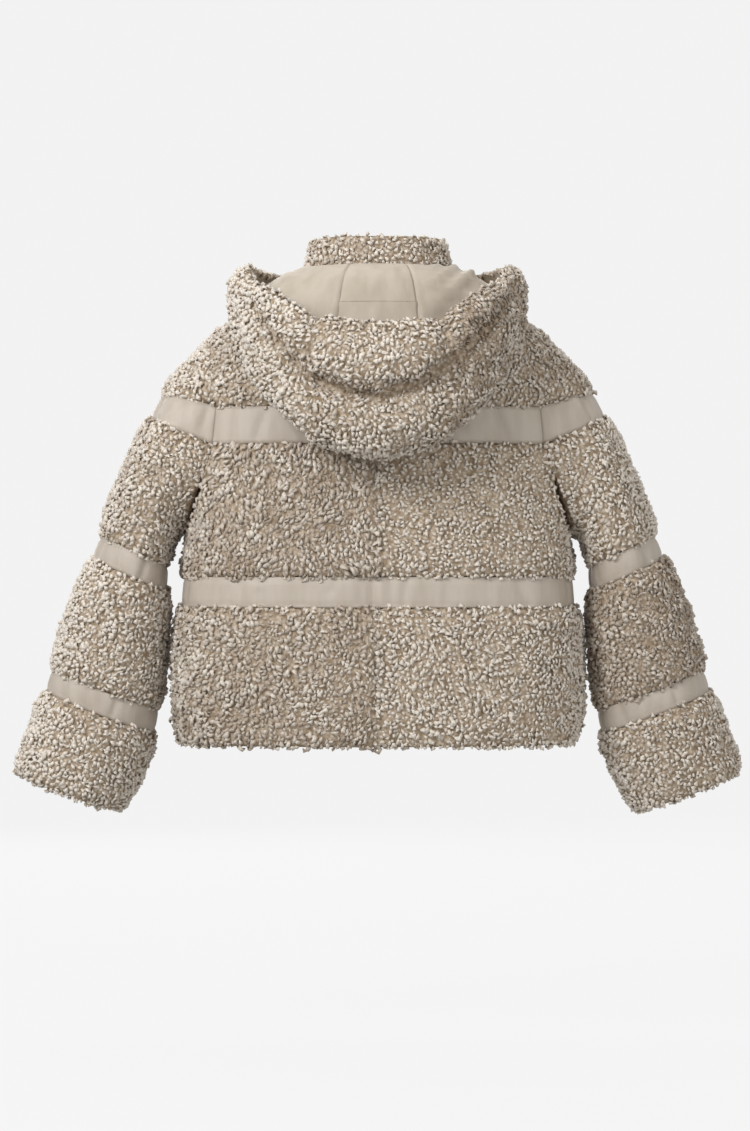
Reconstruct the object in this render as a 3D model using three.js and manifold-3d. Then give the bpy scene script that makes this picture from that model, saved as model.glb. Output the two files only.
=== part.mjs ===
// A short hooded jacket of faux fur bands and smooth cloth bands, hollow, with its zip closed.
// Millimetres, +Z up, the back faces -Y, the front +Y. The origin is in the middle of the neck opening.
import * as THREE from 'three';
import Module from 'manifold-3d';
import { mergeVertices } from 'three/addons/utils/BufferGeometryUtils.js';

const wasm = await Module();
wasm.setup();

// Driving dimensions
const FUR = 11; // fur with its backing, from the inside to the tips
const FUR_EDGE = 4.5; // the same at a seam with cloth
const FUR_ARMPIT = 2.4; // pressed flat under the arm
const EDGE_REACH = 9; // width of the rounding along a cloth band
const ARMPIT_REACH = 85; // how far the flattening spreads
const CLOTH = 2; // woven cloth with its thin wadding
const HALF_SEAM = 0.17; // each piece stops this far short of the seam line
const FRONT_EDGE = 9; // half width of the zip's channel between the fronts
const SLEEVE_AXIS = new THREE.Vector3(0.34, 0, -0.94); // away from the shoulder, on the +X side
const HALF_COLUMNS = 9; // columns of a body panel from its side edge to its middle

// Body sections from neck to hem: the inside of the wall at each level
const BODY = [
  // z, halfWidth, back, front, exponent, frontDrop
  { z: 4, halfWidth: 80, back: 74, front: 78, exponent: 2.1, frontDrop: 44 },
  { z: -14, halfWidth: 122, back: 92, front: 90, exponent: 2.2, frontDrop: 34 },
  { z: -42, halfWidth: 182, back: 105, front: 101, exponent: 2.4, frontDrop: 18 },
  { z: -70, halfWidth: 206, back: 111, front: 107, exponent: 2.5, frontDrop: 8 },
  { z: -110, halfWidth: 219, back: 116, front: 112, exponent: 2.6, frontDrop: 0 },
  { z: -180, halfWidth: 226, back: 119, front: 116, exponent: 2.7, frontDrop: 0 },
  { z: -275, halfWidth: 226, back: 120, front: 118, exponent: 2.7, frontDrop: 0 },
  { z: -330, halfWidth: 230, back: 121, front: 119, exponent: 2.6, frontDrop: 0 },
  { z: -432, halfWidth: 237, back: 122, front: 120, exponent: 2.6, frontDrop: 0 },
  { z: -531, halfWidth: 232, back: 119, front: 117, exponent: 2.6, frontDrop: 0 },
];

// The armhole is an oval in side view, cut through the body's side
const ARMHOLE = { top: -42, bottom: -275, halfDepth: 80 };

// Seams across the body, and the rows of points between them
const YOKE_ROWS = [4, -3, -14, -28, -42, -49, -69, -100, -123, -132];
const UPPER_BAND_ROWS = [-132, -176];
const CHEST_ROWS = [-176, -185, -210, -238, -259, -271, -275, -298, -323, -332];
const LOWER_BAND_ROWS = [-332, -350, -368];
const HEM_ROWS = [-368, -377, -412, -450, -487, -520, -531];

// Sleeve sections after the armhole, on the +X side: ends of each oval and its half depth
const SLEEVE = [
  { name: 'cap', outerX: 244, outerZ: -94, innerX: 240, innerZ: -281, halfDepth: 80, forward: 4 },
  { name: 'biceps', outerX: 291, outerZ: -187, innerX: 254, innerZ: -303, halfDepth: 79, forward: 8 },
  { name: 'upper arm', outerX: 323, outerZ: -264, innerX: 257, innerZ: -345, halfDepth: 76, forward: 12 },
  { name: 'elbow', outerX: 371, outerZ: -385, innerX: 263, innerZ: -425, halfDepth: 72, forward: 16 },
  { name: 'forearm', outerX: 402, outerZ: -480, innerX: 272, innerZ: -520, halfDepth: 67, forward: 22 },
  { name: 'cuff', outerX: 434, outerZ: -569, innerX: 313, innerZ: -614, halfDepth: 60, forward: 28 },
];

// Seams round the sleeve: distance along its axis on the outer and the inner side. Those with a
// crossing level run into the armhole where the body's seam of that level ends.
const SLEEVE_SEAMS = {
  capEnd: { outer: 192, crossing: -132 },
  upperBandEnd: { outer: 227, crossing: -176 },
  upperArmEnd: { outer: 378, inner: 386 },
  middleBandEnd: { outer: 407, inner: 415 },
  forearmEnd: { outer: 549, inner: 552 },
  lowerBandEnd: { outer: 577, inner: 580 },
  cuffEnd: { outer: 684, inner: 690 },
};

// Hood wall from its neck edge through the bag's bottom to its face edge, between lining and fur.
// Each station is a half plane at an angle from the centre back.
const HOOD_POINTS = ['far', 'back', 'heel', 'bottom', 'belly', 'crease', 'roll', 'edge'];
const HOOD_STATIONS = [
  // angle, then the reach from the neck's axis and the height of each point
  [0,   122, 8,  141, -72,  152, -158,  181, -198,  217, -168,  204, -124,  225, -88,  207, -46],
  [28,  124, 11,  149, -57,  159, -127,  183, -161,  214, -137,  202, -102,  220, -71,  204, -28],
  [50,  128, 17,  163, -20,  185, -60,  195, -87,  208, -73,  200, -54,  207, -32,  190, 8],
  [60,  124, 23,  159, 3,  178, -22,  187, -39,  194, -32,  188, -16,  192, -3,  174, 23],
  [70,  119, 26,  148, 9,  164, -3,  173, -9,  180, 1,  175, 10,  176, 19,  158, 35],
  [92,  112, 28,  132, 10,  142, 4,  149, 3,  154, 10,  151, 17,  150, 24,  136, 34],
  [125, 103, 26,  113, 14,  118, 10,  123, 9,  128, 14,  128, 19,  126, 25,  115, 32],
  [150, 100, 23,  106, 15,  110, 12,  114, 12,  117, 16,  117, 20,  115, 25,  107, 30],
];
const HOOD_NECK_HEIGHT = 34; // of the hood's neck edge on the collar
const HOOD_SEAM_ANGLE = 20; // of the seams beside the centre panel
const HOOD_NECK_GAP = { back: 0.7, front: 2.6 }; // between the flat faces of collar and hood
const HOOD_ROWS = 14;
const HOOD_FUR = 9;
const LINING = 1.6;

// Stand collar
const COLLAR = { topBack: 71, topFront: 40, halfWidth: 77, back: 74, front: 80, rows: 3 };

// Zip
const ZIP = { teethHalf: 2.2, tapeStart: 2.6, tapeWidth: 12, tape: 1.2, teeth: 2.6, inset: 0.4 };
const SLIDER = { width: 7.4, length: 12, plate: 1.3, slot: 3.4, bridge: 2.4, bridgeWidth: 4 };
const BAIL = { height: 3.2, width: 1.8, bar: 1.1, length: 7.4 };
const RUNNING_GAP = 0.3; // between the pull and the slider
const PULL = { width: 6.6, length: 30, thickness: 1.2, eye: 5.6, eyeWidth: 3.4, bar: 1.2 };
const BOX = { width: 9, height: 9, depth: 4.4 };

const FUR_COLOUR = 0xc9b8a3;
const CLOTH_COLOUR = 0xc6bbac;
const METAL_COLOUR = 0xb9b4aa;
const furFinish = new THREE.MeshStandardMaterial({ color: FUR_COLOUR, roughness: 0.9, metalness: 0 });
const clothFinish = new THREE.MeshStandardMaterial({ color: CLOTH_COLOUR, roughness: 0.6, metalness: 0 });
const metalFinish = new THREE.MeshStandardMaterial({ color: METAL_COLOUR, roughness: 0.3, metalness: 1 });

const vector = (x, y, z) => new THREE.Vector3(x, y, z);
const signedPower = (value, power) => Math.sign(value) * Math.abs(value) ** power;
const clamp = (value, low, high) => Math.min(high, Math.max(low, value));
const smooth = (value) => clamp(value, 0, 1) ** 2 * (3 - 2 * clamp(value, 0, 1));
const radians = (degrees) => degrees * Math.PI / 180;

// Smooth curve through equally spaced values, at position t counted in values.
function spline(values, t) {
  const last = values.length - 1;
  const i = clamp(Math.floor(t), 0, last - 1);
  const f = t - i;
  const b = values[i];
  const c = values[i + 1];
  const a = i > 0 ? values[i - 1] : 2 * b - c;
  const d = i + 2 <= last ? values[i + 2] : 2 * c - b;
  return b + 0.5 * f * (c - a + f * (2 * a - 5 * b + 4 * c - d + f * (3 * (b - c) + d - a)));
}

// Value of a table's column at a key between its rows, eased between the rows' slopes.
function column(table, key, at, name) {
  const down = table[0][key] > table[table.length - 1][key];
  let i = 0;
  while (i < table.length - 2 && (down ? at < table[i + 1][key] : at > table[i + 1][key])) i += 1;
  const f = (at - table[i][key]) / (table[i + 1][key] - table[i][key]);
  const slope = (j) => {
    const a = table[Math.max(0, j - 1)];
    const b = table[Math.min(table.length - 1, j + 1)];
    return (b[name] - a[name]) / (b[key] - a[key]);
  };
  const width = table[i + 1][key] - table[i][key];
  const start = table[i][name];
  const end = table[i + 1][name];
  const f2 = f * f;
  const f3 = f2 * f;
  return (2 * f3 - 3 * f2 + 1) * start + (f3 - 2 * f2 + f) * width * slope(i)
    + (3 * f2 - 2 * f3) * end + (f3 - f2) * width * slope(i + 1);
}

// Position t between lo and hi where a rising function reaches the goal.
function solve(goal, lo, hi, rising) {
  let a = lo;
  let b = hi;
  for (let step = 0; step < 40; step += 1) {
    const middle = (a + b) / 2;
    if (rising(middle) < goal) a = middle;
    else b = middle;
  }
  return (a + b) / 2;
}

// Body surface: turn is 0 at the side and a quarter turn at the centre, facing is 1 in front and -1 behind.
function bodyPoint(level, turn, side, facing) {
  const goesForward = facing * Math.sin(turn) > 0;
  const power = 2 / column(BODY, 'z', level, 'exponent');
  const depth = column(BODY, 'z', level, goesForward ? 'front' : 'back');
  const drop = level > -110 ? column(BODY, 'z', level, 'frontDrop') : 0;
  return vector(
    side * column(BODY, 'z', level, 'halfWidth') * signedPower(Math.cos(turn), power),
    facing * depth * signedPower(Math.sin(turn), power),
    level - (goesForward ? drop * Math.sin(turn) ** 2 : 0),
  );
}

function outwardNormal(around, along, outwards) {
  const normal = new THREE.Vector3().crossVectors(around, along).normalize();
  return normal.dot(outwards) < 0 ? normal.negate() : normal;
}

function bodyNormal(level, turn, side, facing) {
  const step = 0.03;
  const at = (height, angle) => bodyPoint(height, angle, side, facing);
  const around = at(level, turn + step).sub(at(level, turn - step));
  const along = at(Math.min(BODY[0].z, level + 2), turn).sub(at(level - 2, turn));
  const point = at(level, turn);
  return outwardNormal(around, along, vector(point.x, point.y, 60));
}

const armholeMiddle = (ARMHOLE.top + ARMHOLE.bottom) / 2;
const armholeHalf = (ARMHOLE.top - ARMHOLE.bottom) / 2;
const armholeAngle = (level) => Math.acos(clamp((level - armholeMiddle) / armholeHalf, -1, 1));

// Where a body panel ends at its side: on the armhole, or at the side and shoulder seams.
function edgeTurn(level, facing) {
  if (level >= ARMHOLE.top || level <= ARMHOLE.bottom) return 0;
  const depth = column(BODY, 'z', level, facing > 0 ? 'front' : 'back');
  const reach = ARMHOLE.halfDepth * Math.sin(armholeAngle(level)) / depth;
  return Math.asin(reach ** (column(BODY, 'z', level, 'exponent') / 2));
}

const armpit = (side) => bodyPoint(ARMHOLE.bottom, 0, side, 1);

function furDepth(point, fromEdge) {
  const side = Math.sign(point.x) || 1;
  const open = smooth(point.distanceTo(armpit(side)) / ARMPIT_REACH);
  const full = FUR_ARMPIT + (FUR - FUR_ARMPIT) * open;
  const edge = Math.min(full, FUR_EDGE);
  return edge + (full - edge) * Math.sin(clamp(fromEdge / EDGE_REACH, 0, 1) * Math.PI / 2);
}

// Two directions joined as one, long enough that both walls keep their depth.
function mitre(first, second) {
  const middle = first.clone().add(second).normalize();
  return middle.multiplyScalar(1 / Math.max(0.6, middle.dot(first)));
}

// Sleeve surface: angle 0 is the outer side and half a turn the underarm; along counts the sections.
function sleevePoint(side, angle, facing, along) {
  const level = armholeMiddle + armholeHalf * Math.cos(angle);
  const ovals = SLEEVE.map((s) => vector(
    side * ((s.outerX + s.innerX) / 2 + (s.outerX - s.innerX) / 2 * Math.cos(angle)),
    s.forward + facing * s.halfDepth * Math.sin(angle),
    (s.outerZ + s.innerZ) / 2 + (s.outerZ - s.innerZ) / 2 * Math.cos(angle),
  ));
  const line = [bodyPoint(level, edgeTurn(level, facing), side, facing), ...ovals];
  return vector(...['x', 'y', 'z'].map((axis) => spline(line.map((p) => p[axis]), along)));
}

function sleeveMiddle(side, along) {
  return sleevePoint(side, 0, 1, along).add(sleevePoint(side, Math.PI, 1, along)).multiplyScalar(0.5);
}

function sleeveNormal(side, angle, facing, along) {
  const turn = 0.04;
  const step = 0.02;
  const before = clamp(along - step, 0, SLEEVE.length);
  const after = clamp(along + step, 0, SLEEVE.length);
  const at = (place, position) => sleevePoint(side, place, facing, position);
  const around = at(angle + turn, along).sub(at(angle - turn, along));
  const down = at(angle, after).sub(at(angle, before));
  const out = at(angle, along).sub(sleeveMiddle(side, along));
  return outwardNormal(around, down, out);
}

function armholeDirection(level, side, facing) {
  const angle = armholeAngle(level);
  const onBody = bodyNormal(level, edgeTurn(level, facing), side, facing);
  const nearEnd = clamp(angle, 0.05, Math.PI - 0.05);
  return mitre(onBody, sleeveNormal(side, nearEnd, facing, 0));
}

const axisDistance = (point, side) => point.x * side * SLEEVE_AXIS.x + point.z * SLEEVE_AXIS.z;

function seamDistance(seam, angle, side, facing) {
  const around = (1 - Math.cos(angle)) / 2;
  if (seam.crossing === undefined) return seam.outer + (seam.inner - seam.outer) * around;
  const crossingAngle = armholeAngle(seam.crossing);
  const crossing = axisDistance(sleevePoint(side, crossingAngle, facing, 0), side);
  return seam.outer + (crossing - seam.outer) * around / ((1 - Math.cos(crossingAngle)) / 2);
}

// Position along the sleeve where a column meets a seam; 0 where the armhole comes first.
function alongAt(distance, angle, side, facing) {
  if (axisDistance(sleevePoint(side, angle, facing, 0), side) > distance - 0.01) return 0;
  const rising = (t) => axisDistance(sleevePoint(side, angle, facing, t), side);
  return solve(distance, 0, SLEEVE.length, rising);
}

// Closed wall from a patch of points with an inner and an outer place each, stopped short of its seams.
function wall(name, rows, closed, finish, halfSeam = HALF_SEAM) {
  const points = [];
  const byPlace = new Map();
  const place = (item) => {
    const key = [item.inner.x, item.inner.y, item.inner.z].map((n) => n.toFixed(3)).join();
    if (!byPlace.has(key)) {
      byPlace.set(key, points.length);
      points.push({ inner: item.inner.clone(), outer: item.outer.clone() });
    }
    return byPlace.get(key);
  };
  const index = rows.map((row) => row.map(place));
  const triangles = [];
  const columns = rows[0].length;
  for (let i = 0; i + 1 < rows.length; i += 1) {
    for (let j = 0; j < (closed ? columns : columns - 1); j += 1) {
      const k = (j + 1) % columns;
      const quad = [index[i][j], index[i][k], index[i + 1][k], index[i + 1][j]];
      for (const [a, b, c] of [[0, 1, 2], [0, 2, 3]]) {
        const triangle = [quad[a], quad[b], quad[c]];
        if (new Set(triangle).size === 3) triangles.push(triangle);
      }
    }
  }
  let volume = 0;
  for (const t of triangles) {
    const [a, b, c] = t.map((n) => points[n]);
    const face = new THREE.Vector3().crossVectors(b.inner.clone().sub(a.inner), c.inner.clone().sub(a.inner));
    volume += face.dot(a.outer.clone().sub(a.inner));
  }
  if (volume < 0) triangles.forEach((t) => t.reverse());

  const next = new Map();
  const edges = new Set(triangles.flatMap((t) => t.map((n, k) => `${n},${t[(k + 1) % 3]}`)));
  for (const edge of edges) {
    const [a, b] = edge.split(',').map(Number);
    if (!edges.has(`${b},${a}`)) next.set(a, b);
  }
  const previous = new Map([...next].map(([a, b]) => [b, a]));
  for (const layer of ['inner', 'outer']) {
    const moves = [...next].map(([here, after]) => {
      const p = points[here][layer];
      const up = points[here].outer.clone().sub(points[here].inner).normalize();
      const ahead = points[after][layer].clone().sub(p).normalize();
      const behind = p.clone().sub(points[previous.get(here)][layer]).normalize();
      const first = new THREE.Vector3().crossVectors(up, behind).normalize();
      const second = new THREE.Vector3().crossVectors(up, ahead).normalize();
      const share = Math.max(0.25, 1 + first.dot(second));
      return [here, first.add(second).multiplyScalar(halfSeam / share)];
    });
    for (const [here, move] of moves) points[here][layer].add(move);
  }

  const position = [];
  const push = (...corners) => corners.forEach((p) => position.push(p.x, p.y, p.z));
  for (const t of triangles) {
    const [a, b, c] = t.map((n) => points[n]);
    push(a.outer, b.outer, c.outer);
    push(a.inner, c.inner, b.inner);
  }
  // Neighbours split the faces along their shared seam by the same diagonal.
  const order = (p) => p.z + 0.37 * p.x + 0.61 * p.y;
  for (const [here, after] of next) {
    const [a, b] = [points[here], points[after]];
    if (order(a.inner) < order(b.inner)) {
      push(a.inner, b.inner, b.outer);
      push(a.inner, b.outer, a.outer);
    } else {
      push(a.inner, b.inner, a.outer);
      push(b.inner, b.outer, a.outer);
    }
  }
  const geometry = new THREE.BufferGeometry();
  geometry.setAttribute('position', new THREE.Float32BufferAttribute(position, 3));
  const mesh = new THREE.Mesh(geometry, finish);
  mesh.name = name;
  return mesh;
}

// Places along one row of a body panel, from its side edge to its middle, spaced evenly.
function bodyTurns(level, facing, middleX, count) {
  const start = edgeTurn(level, facing);
  const half = column(BODY, 'z', level, 'halfWidth');
  const power = column(BODY, 'z', level, 'exponent') / 2;
  const end = Math.acos((middleX / half) ** power);
  const samples = Array.from({ length: 81 }, (_, i) => start + (end - start) * i / 80);
  const lengths = [0];
  samples.forEach((turn, i) => {
    if (i > 0) {
      const gap = bodyPoint(level, turn, 1, facing).distanceTo(bodyPoint(level, samples[i - 1], 1, facing));
      lengths.push(lengths[i - 1] + gap);
    }
  });
  return Array.from({ length: count + 1 }, (_, n) => {
    const goal = lengths[80] * n / count;
    const i = clamp(lengths.findIndex((l) => l >= goal - 1e-9), 1, 80);
    const share = (goal - lengths[i - 1]) / (lengths[i] - lengths[i - 1]);
    return samples[i - 1] + (samples[i] - samples[i - 1]) * share;
  });
}

function neckDirection(turn, side, facing) {
  const onYoke = bodyNormal(BODY[0].z, turn, side, facing);
  const outwards = bodyPoint(BODY[0].z, turn, side, facing).setZ(0).normalize();
  return mitre(onYoke, outwards);
}

// One row of a body panel's points, with how far the wall reaches out.
function bodyRow(level, rows, side, facing, isFur, frontEdge) {
  const middleX = facing > 0 ? frontEdge : 0;
  const fromSeam = Math.min(rows[0] - level, level - rows[rows.length - 1]);
  return bodyTurns(level, facing, middleX, HALF_COLUMNS).map((turn, n) => {
    const inner = bodyPoint(level, turn, side, facing);
    const onArmhole = n === 0 && level <= ARMHOLE.top && level >= ARMHOLE.bottom;
    let direction = bodyNormal(level, turn, side, facing);
    if (onArmhole) direction = armholeDirection(level, side, facing);
    if (level === BODY[0].z) direction = neckDirection(turn, side, facing);
    const fromFront = facing > 0 ? Math.abs(inner.x) - frontEdge : EDGE_REACH;
    const reach = isFur ? furDepth(inner, Math.min(fromSeam, fromFront)) : CLOTH;
    return { inner, outer: inner.clone().addScaledVector(direction, reach) };
  });
}

function bodyPanels(band, rows, isFur, splitBack) {
  const finish = isFur ? furFinish : clothFinish;
  const half = (side, facing) => rows.map((level) => bodyRow(level, rows, side, facing, isFur, FRONT_EDGE));
  const across = (level, i, left, right) => [...left[i], ...right[i].slice(0, -1).reverse()];
  const backLeft = half(-1, -1);
  const backRight = half(1, -1);
  const whole = rows.map((level, i) => across(level, i, backLeft, backRight));
  const panel = (name, points) => wall(name, points, false, finish);
  const backs = splitBack
    ? [panel(`back_${band}_left`, backLeft), panel(`back_${band}_right`, backRight)]
    : [panel(`back_${band}`, whole)];
  return [
    ...backs,
    panel(`front_${band}_left`, half(-1, 1)),
    panel(`front_${band}_right`, half(1, 1)),
  ];
}

// The armhole's levels are the body's rows, so sleeve and body share their points there.
const armholeLevels = [...new Set([...YOKE_ROWS, ...UPPER_BAND_ROWS, ...CHEST_ROWS])]
  .filter((level) => level <= ARMHOLE.top && level >= ARMHOLE.bottom);
const spotAt = (level, facing) => ({ angle: armholeAngle(level), level, facing });
const backColumns = armholeLevels.map((level) => spotAt(level, -1));
const frontColumns = armholeLevels.slice(1, -1).map((level) => spotAt(level, 1));
const SLEEVE_COLUMNS = [...frontColumns.reverse(), ...backColumns]; // from the underarm's front over the top

function sleeveItem(side, spot, along, fromSeam, isFur) {
  const inner = sleevePoint(side, spot.angle, spot.facing, along);
  const direction = along === 0
    ? armholeDirection(spot.level, side, spot.facing)
    : sleeveNormal(side, clamp(spot.angle, 0.0001, Math.PI - 0.0001), spot.facing, along);
  const reach = isFur ? furDepth(inner, fromSeam) : CLOTH;
  return { inner, outer: inner.clone().addScaledVector(direction, reach) };
}

// A stretch of sleeve between two seams, or between the armhole and a seam, in one row or at least three.
function sleevePiece(name, side, startSeam, endSeam, spots, closed, isFur, count) {
  const columns = spots.map((spot) => {
    const at = (seam) => (seam ? seamDistance(seam, spot.angle, side, spot.facing) : -Infinity);
    const from = alongAt(at(startSeam), spot.angle, side, spot.facing);
    const to = alongAt(at(endSeam), spot.angle, side, spot.facing);
    const distance = (t) => axisDistance(sleevePoint(side, spot.angle, spot.facing, t), side);
    const [first, last] = [distance(from), distance(to)];
    const edge = Math.min(EDGE_REACH, (last - first) / count); // the first and last rows lie this near
    return Array.from({ length: count + 1 }, (_, n) => {
      let along = to;
      if (n === 0) along = from;
      else if (n < count) {
        const inside = first + edge + (last - first - 2 * edge) * (n - 1) / (count - 2);
        along = alongAt(inside, spot.angle, side, spot.facing);
      }
      const here = distance(along);
      const fromStart = from > 0 ? here - first : EDGE_REACH;
      return sleeveItem(side, spot, along, Math.min(fromStart, last - here), isFur);
    });
  });
  const rows = columns[0].map((_, n) => columns.map((points) => points[n]));
  return wall(name, rows, closed, isFur ? furFinish : clothFinish);
}

function sleeve(side) {
  const label = side < 0 ? 'left' : 'right';
  const seams = SLEEVE_SEAMS;
  const above = (seam) => SLEEVE_COLUMNS.filter((spot) => spot.level >= seam.crossing);
  const piece = (name, from, to, isFur, count, spots = SLEEVE_COLUMNS) => (
    sleevePiece(`sleeve_${label}_${name}`, side, from, to, spots, spots === SLEEVE_COLUMNS, isFur, count)
  );
  return [
    piece('cap_fur', null, seams.capEnd, true, 3, above(seams.capEnd)),
    piece('upper_band', seams.capEnd, seams.upperBandEnd, false, 1, above(seams.upperBandEnd)),
    piece('upper_fur', seams.upperBandEnd, seams.upperArmEnd, true, 6),
    piece('middle_band', seams.upperArmEnd, seams.middleBandEnd, false, 1),
    piece('forearm_fur', seams.middleBandEnd, seams.forearmEnd, true, 5),
    piece('lower_band', seams.forearmEnd, seams.lowerBandEnd, false, 1),
    piece('cuff_fur', seams.lowerBandEnd, seams.cuffEnd, true, 5),
  ];
}

// Collar surface: up is 0 at the neck seam and 1 at the top edge.
function collarPoint(turn, side, facing, up) {
  const start = bodyPoint(BODY[0].z, turn, side, facing);
  const power = 2 / 2.1;
  const forward = facing * Math.sin(turn);
  const top = vector(
    side * COLLAR.halfWidth * signedPower(Math.cos(turn), power),
    facing * (forward > 0 ? COLLAR.front : COLLAR.back) * signedPower(Math.sin(turn), power),
    forward > 0 ? COLLAR.topBack + (COLLAR.topFront - COLLAR.topBack) * Math.sin(turn) ** 2 : COLLAR.topBack,
  );
  return start.lerp(top, up);
}

function collarRow(side, facing, row) {
  const up = row / COLLAR.rows;
  return bodyTurns(BODY[0].z, facing, facing > 0 ? FRONT_EDGE : 0, HALF_COLUMNS).map((turn) => {
    const inner = collarPoint(turn, side, facing, up);
    const direction = row === 0 ? neckDirection(turn, side, facing) : inner.clone().setZ(0).normalize();
    const fromTop = (1 - up) * COLLAR.topBack;
    const fromFront = facing > 0 ? Math.abs(inner.x) - FRONT_EDGE : EDGE_REACH;
    const reach = furDepth(inner, Math.min(fromTop, fromFront));
    return { inner, outer: inner.clone().addScaledVector(direction, reach) };
  });
}

function collar() {
  const rows = Array.from({ length: COLLAR.rows + 1 }, (_, row) => {
    const quarter = (side, facing) => collarRow(side, facing, row);
    return [
      ...quarter(-1, 1).reverse(),
      ...quarter(-1, -1).slice(1),
      ...quarter(1, -1).reverse().slice(1),
      ...quarter(1, 1).slice(1),
    ];
  });
  return wall('collar', rows, false, furFinish);
}

// Distance of the collar's outer face from the neck's axis, in a direction from the centre back.
function collarReach(angle, height) {
  const side = Math.sin(angle) < 0 ? -1 : 1;
  const facing = Math.cos(angle) < 0 ? 1 : -1;
  const bearing = Math.abs(angle) > Math.PI / 2 ? Math.PI - Math.abs(angle) : Math.abs(angle);
  const rising = (turn) => {
    const p = collarPoint(turn, 1, -1, 0.5);
    return Math.atan2(-p.y, p.x);
  };
  const turn = solve(Math.PI / 2 - bearing, 0, Math.PI / 2, rising);
  const [low, high] = [collarPoint(turn, side, facing, 0), collarPoint(turn, side, facing, 1)];
  const up = clamp((height - low.z) / (high.z - low.z), 0, 1);
  const point = collarPoint(turn, side, facing, up);
  return Math.hypot(point.x, point.y) + furDepth(point, EDGE_REACH);
}

// Hood wall between lining and fur: angle from the centre back, along from the neck to the face edge.
const hoodTable = HOOD_STATIONS.map(([angle, ...places]) => {
  const row = { angle };
  HOOD_POINTS.forEach((name, i) => {
    row[`${name}Reach`] = places[2 * i];
    row[`${name}Height`] = places[2 * i + 1];
  });
  return row;
});
hoodTable.unshift({ ...hoodTable[1], angle: -hoodTable[1].angle }); // so that the middle is smooth

function hoodPoint(angle, along) {
  const degrees = Math.abs(angle);
  const bearing = radians(angle);
  const inFront = smooth((degrees - 100) / 50);
  const gap = HOOD_NECK_GAP.back + (HOOD_NECK_GAP.front - HOOD_NECK_GAP.back) * inFront;
  const neck = collarReach(bearing, HOOD_NECK_HEIGHT) + gap;
  const farReach = column(hoodTable, 'angle', degrees, 'farReach');
  const reach = [neck, (neck * 2 + farReach) / 3];
  const height = [HOOD_NECK_HEIGHT, HOOD_NECK_HEIGHT - 1];
  for (const name of HOOD_POINTS) {
    reach.push(column(hoodTable, 'angle', degrees, `${name}Reach`));
    height.push(column(hoodTable, 'angle', degrees, `${name}Height`));
  }
  const at = along * (reach.length - 1);
  const r = spline(reach, at);
  return vector(r * Math.sin(bearing), -r * Math.cos(bearing), spline(height, at));
}

function hoodNormal(angle, along) {
  if (along === 0) return vector(0, 0, -1);
  const around = hoodPoint(angle + 1, along).sub(hoodPoint(angle - 1, along));
  const down = hoodPoint(angle, Math.min(1, along + 0.01)).sub(hoodPoint(angle, Math.max(0, along - 0.01)));
  return new THREE.Vector3().crossVectors(around, down).normalize();
}

function hoodWall(name, from, to, columns, isFur) {
  const rows = Array.from({ length: HOOD_ROWS + 1 }, (_, i) => {
    const along = i / HOOD_ROWS;
    return Array.from({ length: columns + 1 }, (__, j) => {
      const angle = from + (to - from) * j / columns;
      const base = hoodPoint(angle, along);
      const outwards = hoodNormal(angle, along);
      const taper = 1 - 0.45 * smooth((Math.abs(angle) - 60) / 90);
      const fromEdge = Math.min(1, (1 - along) * 8, 0.45 + along * 8);
      const full = HOOD_FUR * taper * (0.4 + 0.6 * Math.sin(fromEdge * Math.PI / 2));
      const [near, deep] = isFur ? [HALF_SEAM, full] : [-HALF_SEAM, -HALF_SEAM - LINING];
      const moved = (distance) => base.clone().addScaledVector(outwards, distance);
      return { inner: moved(near), outer: moved(deep) };
    });
  });
  return wall(name, rows, false, isFur ? furFinish : clothFinish);
}

function hood() {
  const end = hoodTable[hoodTable.length - 1].angle;
  const seam = HOOD_SEAM_ANGLE;
  const panels = [['left', -end, -seam, 11], ['centre', -seam, seam, 4], ['right', seam, end, 11]];
  return panels.flatMap(([label, from, to, columns]) => [
    hoodWall(`hood_fur_${label}`, from, to, columns, true),
    hoodWall(`hood_lining_${label}`, from, to, columns, false),
  ]);
}

// Places up the zip: the front's levels, then up the collar.
const ZIP_FOOT = -525;
const zipLevels = [
  ZIP_FOOT, -490, -450, -412, -368, -332, -298, -259, -210, -176, -132, -100, -69, -42, -28, -14, -3,
];
function zipPoint(x, side, station) {
  const turnAt = (level) => {
    const half = column(BODY, 'z', level, 'halfWidth');
    return Math.acos((x / half) ** (column(BODY, 'z', level, 'exponent') / 2));
  };
  if (station < zipLevels.length) {
    const level = zipLevels[station];
    return bodyPoint(level, turnAt(level), side, 1);
  }
  const turn = turnAt(BODY[0].z);
  return collarPoint(turn, side, 1, (station - zipLevels.length) / (COLLAR.rows + 1));
}

const zipStations = zipLevels.length + COLLAR.rows + 1;
function zipStrip(name, side, sides, middle, thickness, finish) {
  const rows = Array.from({ length: zipStations }, (_, station) => sides.map((x) => {
    const p = zipPoint(x, side, station);
    const before = zipPoint(x, side, Math.max(0, station - 1));
    const after = zipPoint(x, side, Math.min(zipStations - 1, station + 1));
    const up = after.sub(before).normalize();
    const outwards = new THREE.Vector3().crossVectors(vector(-1, 0, 0), up).normalize();
    if (outwards.y < 0) outwards.negate();
    return {
      inner: p.clone().addScaledVector(outwards, middle - thickness / 2),
      outer: p.clone().addScaledVector(outwards, middle + thickness / 2),
    };
  }));
  return wall(name, rows, false, finish, 0);
}

function zip() {
  const tapeEnd = ZIP.tapeStart + ZIP.tapeWidth;
  const middle = -ZIP.inset - ZIP.tape / 2;
  return [-1, 1].flatMap((side) => {
    const label = side < 0 ? 'left' : 'right';
    return [
      zipStrip(`zip_tape_${label}`, side, [ZIP.tapeStart, tapeEnd], middle, ZIP.tape, clothFinish),
      zipStrip(`zip_teeth_${label}`, side, [HALF_SEAM, ZIP.teethHalf], middle, ZIP.teeth, metalFinish),
    ];
  });
}

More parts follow.
